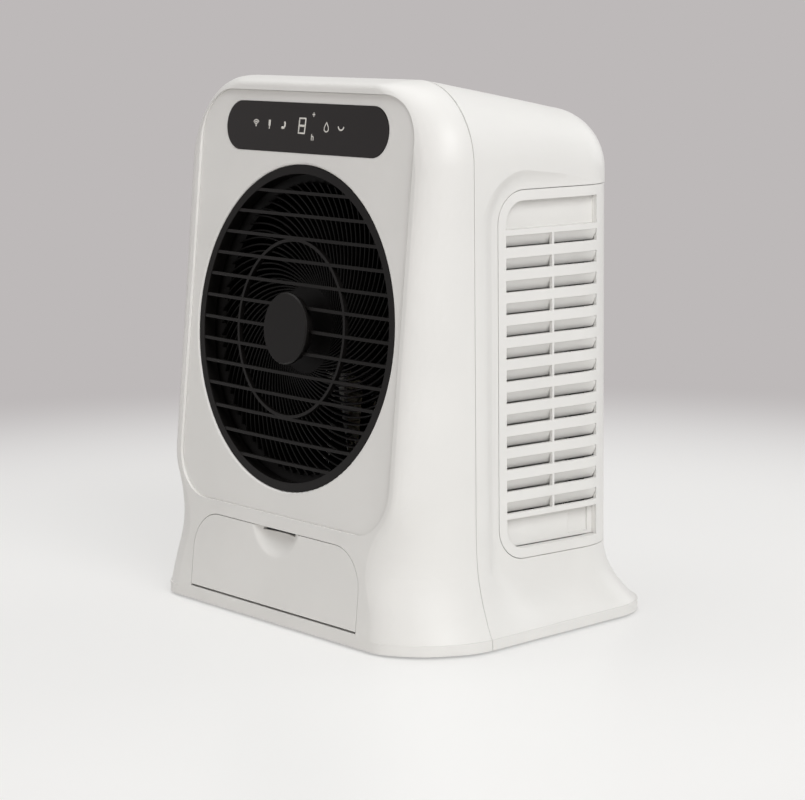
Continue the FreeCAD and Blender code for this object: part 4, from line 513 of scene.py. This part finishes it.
signs = bmesh.new()
for closed, groups in ((False, OPEN_STROKES), (True, CLOSED_STROKES)):
    for width, strokes in groups.items():
        path = bpy.data.curves.new("stroke", "CURVE")
        path.dimensions = "3D"
        path.twist_mode = "Z_UP"
        for points in strokes:
            spline = path.splines.new("POLY")
            spline.points.add(len(points) - 1)
            for point, (x, y) in zip(spline.points, points):
                point.co = (x * MM, y * MM, 0, 1)
            spline.use_cyclic_u = closed
        holder = bpy.data.objects.new("stroke", path)
        signs.from_mesh(grown(holder, pen, pen_keys, Width=width * MM, Height=PRINT_HEIGHT, Ink=ink))

window_points = [leaning.inverted() @ v.co for v in nodes["display_window"].data.vertices]
lowest = [min(p[i] for p in window_points) for i in range(3)]
highest = [max(p[i] for p in window_points) for i in range(3)]
sign_place = Matrix.Translation((
    (lowest[0] + highest[0]) / 2,
    (lowest[1] + highest[1]) / 2,
    highest[2] + PRINT_HEIGHT / 2,
))
signs.transform(leaning @ sign_place)
bmesh.ops.recalc_face_normals(signs, faces=signs.faces)
display_signs = shown("display_signs", plain_mesh("display_signs", signs, ink))
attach(display_signs, "housing")
print("signs:", len(display_signs.data.polygons), "faces")

# %% [markdown]
# The cooling pad is a pack of corrugated cellulose sheets, glued crest to crest with the flutes of every
# second sheet sloping the other way, so that air and water cross in thousands of small channels. The
# solid is only its block, and a bump on a block would look flat in the slots and at the edges. So each
# sheet is bent for real: a sine wave lifts a grid, and the paper gets its thickness along the normals.

# %% One fluted sheet
SHEET_COLUMNS, SHEET_ROWS = 8, 90
pack, pack_keys, start = node_group(
    "corrugated_pack",
    ("Depth", "Float"), ("Height", "Float"), ("Spacing", "Float"), ("Sheets", "Int"),
    ("Flutes", "Vector"), ("Crest", "Float"), ("Paper", "Float"), ("Finish", "Material"),
)


def fluted_sheet(tree, start, hand):
    """One sheet in the XY plane, as an instance, with flutes that slope to one hand."""
    grid = add(tree, "GeometryNodeMeshGrid", {
        "Size X": start.outputs["Depth"], "Size Y": start.outputs["Height"],
        "Vertices X": SHEET_COLUMNS, "Vertices Y": SHEET_ROWS,
    })
    place = add(tree, "GeometryNodeInputPosition")
    sloped = add(tree, "ShaderNodeVectorMath", {
        0: start.outputs["Flutes"], 1: (hand, 1, 1),
    }, operation="MULTIPLY")
    turn = add(tree, "ShaderNodeVectorMath", {
        0: place.outputs["Position"], 1: sloped.outputs["Vector"],
    }, operation="DOT_PRODUCT")
    wave = add(tree, "ShaderNodeMath", {0: turn.outputs["Value"]}, operation="SINE")
    lift = add(tree, "ShaderNodeMath", {
        0: wave.outputs["Value"], 1: start.outputs["Crest"],
    }, operation="MULTIPLY")
    upward = add(tree, "ShaderNodeCombineXYZ", {"Z": lift.outputs["Value"]})
    bent = add(tree, "GeometryNodeSetPosition", {
        "Geometry": grid.outputs["Mesh"], "Offset": upward.outputs["Vector"],
    })
    thick = add(tree, "GeometryNodeExtrudeMesh", {
        "Mesh": bent.outputs["Geometry"], "Offset Scale": start.outputs["Paper"], "Individual": False,
    }, mode="FACES")
    under = add(tree, "GeometryNodeFlipFaces", {"Mesh": bent.outputs["Geometry"]})
    both = add(tree, "GeometryNodeJoinGeometry", {
        "Geometry": [thick.outputs["Mesh"], under.outputs["Mesh"]],
    })
    sheet = add(tree, "GeometryNodeMergeByDistance", {
        "Geometry": both.outputs["Geometry"], "Distance": WELD,
    })
    return add(tree, "GeometryNodeGeometryToInstance", {"Geometry": sheet.outputs["Geometry"]})


hands = [fluted_sheet(pack, start, hand).outputs["Instances"] for hand in (1, -1)]
print("kinds of sheet:", len(hands))

# %% [markdown]
# The rest of the tree stacks the sheets: a line of points, one sheet's spacing apart, takes the two kinds
# in turn. The point's number, odd or even, picks the kind.

# %% Stack of sheets
kinds = add(pack, "GeometryNodeJoinGeometry", {"Geometry": hands})
step = add(pack, "ShaderNodeCombineXYZ", {"Z": start.outputs["Spacing"]})
places = add(pack, "GeometryNodeMeshLine", {
    "Count": start.outputs["Sheets"], "Offset": step.outputs["Vector"],
}, mode="OFFSET")
number = add(pack, "GeometryNodeInputIndex")
odd = add(pack, "ShaderNodeMath", {0: number.outputs["Index"], 1: 2.0}, operation="MODULO")
stack = add(pack, "GeometryNodeInstanceOnPoints", {
    "Points": places.outputs["Mesh"], "Instance": kinds.outputs["Geometry"], "Pick Instance": True,
    "Instance Index": odd.outputs["Value"],
})
real = add(pack, "GeometryNodeRealizeInstances", {"Geometry": stack.outputs["Instances"]})
papered = add(pack, "GeometryNodeSetMaterial", {
    "Geometry": real.outputs["Geometry"], "Material": start.outputs["Finish"],
})
add(pack, "NodeGroupOutput", {"Geometry": papered.outputs["Geometry"]})
print("pack inputs:", list(pack_keys))

# %% [markdown]
# The pack fills the box of the pad's solid, so its sizes come from there. The flutes are given as one
# vector, across the flutes: its length is the turn of the wave for each metre. The sheets are drawn lying
# down and then stood up, with their depth to +Y, their height to +Z and the stack to +X.

# %% Cooling pack in its frame
SHEET_GAP, PAPER = 5.0 * MM, 0.3 * MM
FLUTE_PITCH, FLUTE_SLOPE, CREASE = 11.0 * MM, math.radians(30), math.radians(40)
pad_low, pad_high = (Vector(corner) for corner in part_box("cooling_pad"))
pad_size, pad_middle = pad_high - pad_low, (pad_low + pad_high) / 2
sheets = int(pad_size.x / SHEET_GAP)
spacing = pad_size.x / sheets
flutes = Vector((math.sin(FLUTE_SLOPE), math.cos(FLUTE_SLOPE), 0)) * 2 * math.pi / FLUTE_PITCH
holder = bpy.data.objects.new("pack", bpy.data.meshes.new("pack"))
pack_mesh = grown(
    holder, pack, pack_keys, Depth=pad_size.y - 2 * PAPER, Height=pad_size.z - 2 * PAPER,
    Spacing=spacing, Sheets=sheets, Flutes=flutes, Crest=spacing / 2 - PAPER, Paper=PAPER,
    Finish=pad_paper,
)
stand_up = Matrix(((0, 0, 1), (1, 0, 0), (0, 1, 0))).to_4x4()
first_sheet = Vector((pad_low.x + spacing / 2, pad_middle.y, pad_middle.z))
pack_mesh.transform(Matrix.Translation(first_sheet) @ stand_up)
pack_mesh.name = "cooling_pack"
pack_mesh.shade_smooth()
pack_mesh.set_sharp_from_angle(angle=CREASE)
cooling_pack = shown("cooling_pack", pack_mesh)
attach(cooling_pack, "housing")
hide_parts("cooling_pad")
print("pack:", sheets, "sheets,", len(pack_mesh.polygons), "faces")

# %% [markdown]
# The dust filter is a moulded lattice with a fine woven screen welded to it. The lattice is solid, and
# the screen is far too fine for that. Two rows of straight threads, one behind the other, give the look
# of the weave with few faces. One node tree makes a row of threads.

# %% Row of screen threads
screen, screen_keys, start = node_group(
    "thread_row", ("Length", "Float"), ("Pitch", "Float"), ("Threads", "Int"), ("Width", "Float"),
    ("Finish", "Material"),
)
size = add(screen, "ShaderNodeCombineXYZ", {
    "X": start.outputs["Width"], "Y": start.outputs["Width"], "Z": start.outputs["Length"],
})
thread = add(screen, "GeometryNodeMeshCube", {"Size": size.outputs["Vector"]})
step = add(screen, "ShaderNodeCombineXYZ", {"X": start.outputs["Pitch"]})
row = add(screen, "GeometryNodeMeshLine", {
    "Count": start.outputs["Threads"], "Offset": step.outputs["Vector"],
}, mode="OFFSET")
threads = add(screen, "GeometryNodeInstanceOnPoints", {
    "Points": row.outputs["Mesh"], "Instance": thread.outputs["Mesh"],
})
real = add(screen, "GeometryNodeRealizeInstances", {"Geometry": threads.outputs["Instances"]})
spun = add(screen, "GeometryNodeSetMaterial", {
    "Geometry": real.outputs["Geometry"], "Material": start.outputs["Finish"],
})
add(screen, "NodeGroupOutput", {"Geometry": spun.outputs["Geometry"]})
print("thread inputs:", list(screen_keys))

# %% [markdown]
# The tree runs twice, for upright and for level threads. They lie on the lattice's inner face, which is
# the level of its vertices nearest to the middle of the filter's depth, and stop inside the rim. Nylon
# thread is dark, smooth and a little shiny.

# %% Woven filter screen
RIM, PITCH, THREAD = 2.6 * MM, 1.7 * MM, 0.3 * MM
thread_nylon = grained("screen_nylon_thread", "#4c4c4f", "#434346", rough=0.45, grain_mm=1.0,
                       relief_mm=0.01)
frame_low, frame_high = (Vector(corner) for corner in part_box("dust_filter"))
frame_middle = (frame_low + frame_high) / 2
depths = sorted({round(v.co.y, 5) for v in nodes["dust_filter"].data.vertices})
lattice_face = min(depths[1:-1], key=lambda y: abs(y - frame_middle.y))
span = frame_high - frame_low - Vector((2 * RIM, 0, 2 * RIM))
lay_down = Matrix.Rotation(math.radians(-90), 4, "Y")
uprights = Vector((frame_low.x + RIM, lattice_face - THREAD / 2, frame_middle.z))
levels = Vector((frame_middle.x, lattice_face - THREAD, frame_low.z + RIM))
weave = bmesh.new()
for length, width, place in (
    (span.z, span.x, Matrix.Translation(uprights)),
    (span.x, span.z, Matrix.Translation(levels) @ lay_down),
):
    count = int(width / PITCH)
    holder = bpy.data.objects.new("row", bpy.data.meshes.new("row"))
    row_mesh = grown(
        holder, screen, screen_keys, Length=length, Pitch=width / count, Threads=count + 1, Width=THREAD,
        Finish=thread_nylon,
    )
    row_mesh.transform(place)
    weave.from_mesh(row_mesh)
filter_screen = shown("filter_screen", plain_mesh("filter_screen", weave, thread_nylon))
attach(filter_screen, "rear_cover")
print("screen:", len(filter_screen.data.polygons), "faces")

# %% [markdown]
# The finger recesses above and below the side slots end in a short wall at the back, which shuts them
# off from the inside. Such a wall is 1.2 mm of the same plastic as the cover. It is a small plate with
# eased edges, made four times: for the upper and the lower recess of each side.

# %% End walls of the finger recesses
# Millimetres, in the model's frame.
RECESS_HEIGHTS = ((53.5, 71.9), (245.5, 262.0))
RECESS_BACK, END_WALL, EASED = 59.2, 1.2, 0.25
END_INNER, END_OUTER = 112.6, 116.8
end_x, end_y = (END_OUTER + END_INNER) / 2, RECESS_BACK + END_WALL / 2 - EASED
walls = bmesh.new()
for side in (-1, 1):
    for low, high in RECESS_HEIGHTS:
        size = Vector((END_OUTER - END_INNER, END_WALL, high - low)) * MM
        centre = Vector((side * end_x, end_y, (low + high) / 2)) * MM
        place = Matrix.Translation(centre) @ Matrix.Diagonal((*size, 1))
        bmesh.ops.create_cube(walls, size=1.0, matrix=place)
bmesh.ops.bevel(walls, geom=walls.edges[:], offset=EASED * MM, segments=2, affect="EDGES", profile=0.5)
walls_mesh = plain_mesh("recess_ends", walls, white_abs)
walls_mesh.shade_smooth()
walls_mesh.set_sharp_from_angle(angle=SHARP_TURN)
recess_ends = shown("recess_ends", walls_mesh)
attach(recess_ends, "rear_cover")
print("recess ends:", len(walls_mesh.polygons), "faces")

# %% [markdown]
# The floor is painted nearly white round the cooler and turns to a warm grey further off, which sets the
# white housing off. A part of both tones glows for the camera and in reflections alone, so the stage
# stays even without more light on the cooler, and the rest keeps the cooler's shadow.

# %% Floor paint
WHITE_REACH, GREY_REACH, NEAR_GLOW, FLOOR_ROUGHNESS = 0.40, 0.95, 0.42, 0.35
BACKDROP = "#bdb9b9"


def showing_rays(tree):
    """1 for the rays that show the stage: from the camera, mirrored or through something clear."""
    ray = add(tree, "ShaderNodeLightPath")
    mirrored = add(tree, "ShaderNodeMath", {
        0: ray.outputs["Is Camera Ray"], 1: ray.outputs["Is Glossy Ray"],
    }, operation="ADD")
    return add(tree, "ShaderNodeMath", {
        0: mirrored.outputs["Value"], 1: ray.outputs["Is Transmission Ray"],
    }, operation="ADD", use_clamp=True).outputs["Value"]


floor_paint, tree, shader = new_material("pale_studio_paint")
place = add(tree, "ShaderNodeTexCoord").outputs["Object"]
distance = add(tree, "ShaderNodeVectorMath", {0: place}, operation="LENGTH")
fade = add(tree, "ShaderNodeMapRange", {
    "Value": distance.outputs["Value"], "From Min": WHITE_REACH, "From Max": GREY_REACH,
}, interpolation_type="SMOOTHSTEP").outputs["Result"]
tone = add(tree, "ShaderNodeMix", {
    "Factor": fade, "A": linear("#efeeec"), "B": linear("#c4c0c0"),
}, data_type="RGBA")
set_inputs(tree, shader, {"Base Color": tone.outputs["Result"], "Roughness": FLOOR_ROUGHNESS})
share = add(tree, "ShaderNodeMapRange", {"Value": fade, "To Min": NEAR_GLOW, "To Max": 1.0})
seen = add(tree, "ShaderNodeMath", {
    0: share.outputs["Result"], 1: showing_rays(tree),
}, operation="MULTIPLY")
shine = add(tree, "ShaderNodeMix", {
    "Factor": fade, "A": linear("#fbfbfa"), "B": linear(BACKDROP),
}, data_type="RGBA")
glow = add(tree, "ShaderNodeEmission", {"Color": shine.outputs["Result"]})
paint = add(tree, "ShaderNodeMixShader", {
    "Fac": seen.outputs["Value"], 1: shader.outputs["BSDF"], 2: glow.outputs["Emission"],
})
set_inputs(tree, node_of(tree, "OUTPUT_MATERIAL"), {"Surface": paint.outputs["Shader"]})
print("floor paint:", floor_paint.name)

# %% [markdown]
# The floor sweeps up into the backdrop far behind the cooler, so no line crosses the picture. A strip of
# quads along a profile, with a quarter circle between floor and wall, is all it takes. It is turned to
# face the camera. It is the stage and no part of the object.

# %% Floor and backdrop
FLOOR_FRONT, SWEEP_DEPTH, SWEEP_SIDE, SWEEP_RADIUS, SWEEP_HEIGHT = -4.0, 2.2, 4.0, 1.2, 3.0
SWEEP_STEPS, SWEEP_TURN = 24, math.radians(51.5)
profile = [(FLOOR_FRONT, 0.0), (SWEEP_DEPTH, 0.0)]
for step in range(1, SWEEP_STEPS + 1):
    turn = math.pi / 2 * step / SWEEP_STEPS
    profile.append((SWEEP_DEPTH + SWEEP_RADIUS * math.sin(turn), SWEEP_RADIUS * (1 - math.cos(turn))))
profile.append((SWEEP_DEPTH + SWEEP_RADIUS, SWEEP_HEIGHT))
corners = [
    (
        -distance * math.sin(SWEEP_TURN) + side * math.cos(SWEEP_TURN),
        distance * math.cos(SWEEP_TURN) + side * math.sin(SWEEP_TURN),
        height,
    )
    for distance, height in profile
    for side in (-SWEEP_SIDE, SWEEP_SIDE)
]
quads = [(2 * i, 2 * i + 1, 2 * i + 3, 2 * i + 2) for i in range(len(profile) - 1)]
sweep_mesh = bpy.data.meshes.new("studio_sweep")
sweep_mesh.from_pydata(corners, [], quads)
sweep_mesh.shade_smooth()
sweep_mesh.materials.append(floor_paint)
sweep = shown("studio_sweep", sweep_mesh)
print("stage:", sweep.name)

# %% [markdown]
# Soft studio light: a wide panel high on the right carries the bright side, one above lights the top, a
# dim and warm one in front keeps the face readable, and one behind rounds the back. The levels let a
# written white come out just under white on the lit side.

# %% Light panels
# Each panel's name, place and width in metres, power in watts, and tint.
PANELS = (
    ("key_panel", (1.82, -0.45, 1.4), 1.3, 27, "#ffffff"),
    ("front_panel", (0.5, -2.2, 0.9), 1.4, 3.5, "#fff1ea"),
    ("top_panel", (-0.55, -0.25, 2.1), 1.6, 16, "#ffffff"),
    ("rear_panel", (0.2, 2.2, 1.0), 1.4, 9, "#ffffff"),
)
middle = Vector((0, 0, (cad_box[0][2] + cad_box[1][2]) / 2))
for name, place, size, power, tint in PANELS:
    lamp = bpy.data.lights.new(name, "AREA")
    lamp.shape = "SQUARE"
    lamp.size = size
    lamp.energy = power
    lamp.color = linear(tint)[:3]
    panel = bpy.data.objects.new(name, lamp)
    panel.location = place
    panel.rotation_euler = (middle - Vector(place)).to_track_quat("-Z", "Y").to_euler()
    bpy.context.collection.objects.link(panel)
print("panels:", [name for name, *_ in PANELS])

# %% [markdown]
# A grey world fills the shadows. Past the sweep's edges the camera and the reflections see the backdrop's
# grey instead, so the picture has no border from any side.

# %% World light
FILL_STRENGTH = 0.5
world = bpy.data.worlds.new("studio_grey")
world.use_nodes = True
tree = world.node_tree
tree.nodes.clear()
fill = add(tree, "ShaderNodeBackground", {"Color": linear("#d9d9d8"), "Strength": FILL_STRENGTH})
plain = add(tree, "ShaderNodeBackground", {"Color": linear(BACKDROP)})
choice = add(tree, "ShaderNodeMixShader", {
    "Fac": showing_rays(tree), 1: fill.outputs["Background"], 2: plain.outputs["Background"],
})
add(tree, "ShaderNodeOutputWorld", {"Surface": choice.outputs["Shader"]})
bpy.context.scene.world = world
print("world:", world.name)

# %% [markdown]
# The camera stands where the photograph was taken, about 1.7 m away on the cooler's right, a little
# above it. The long lens keeps the sides nearly parallel.

# %% Camera
AZIMUTH, ELEVATION, ROLL = math.radians(51.47), math.radians(8.87), math.radians(-0.57)
CAMERA_AT = Vector((1.2822, -1.0186, 0.3846))
PHOTO_WIDTH, FOCAL_PIXELS, SENSOR = 805, 2616, 36.0
back = Vector((
    math.sin(AZIMUTH) * math.cos(ELEVATION),
    -math.cos(AZIMUTH) * math.cos(ELEVATION),
    math.sin(ELEVATION),
))
level = Vector((math.cos(AZIMUTH), math.sin(AZIMUTH), 0))
rise = back.cross(level)
right = level * math.cos(ROLL) + rise * math.sin(ROLL)
up = rise * math.cos(ROLL) - level * math.sin(ROLL)
lens = bpy.data.cameras.new("photo_camera")
lens.sensor_width = SENSOR
lens.lens = FOCAL_PIXELS / PHOTO_WIDTH * SENSOR
camera = bpy.data.objects.new("photo_camera", lens)
pose = Matrix((right, up, back)).transposed().to_4x4()
pose.translation = CAMERA_AT
camera.matrix_world = pose
bpy.context.collection.objects.link(camera)
bpy.context.scene.camera = camera
bpy.context.scene.view_settings.view_transform = "Standard"
print("lens:", round(lens.lens, 1), "mm")
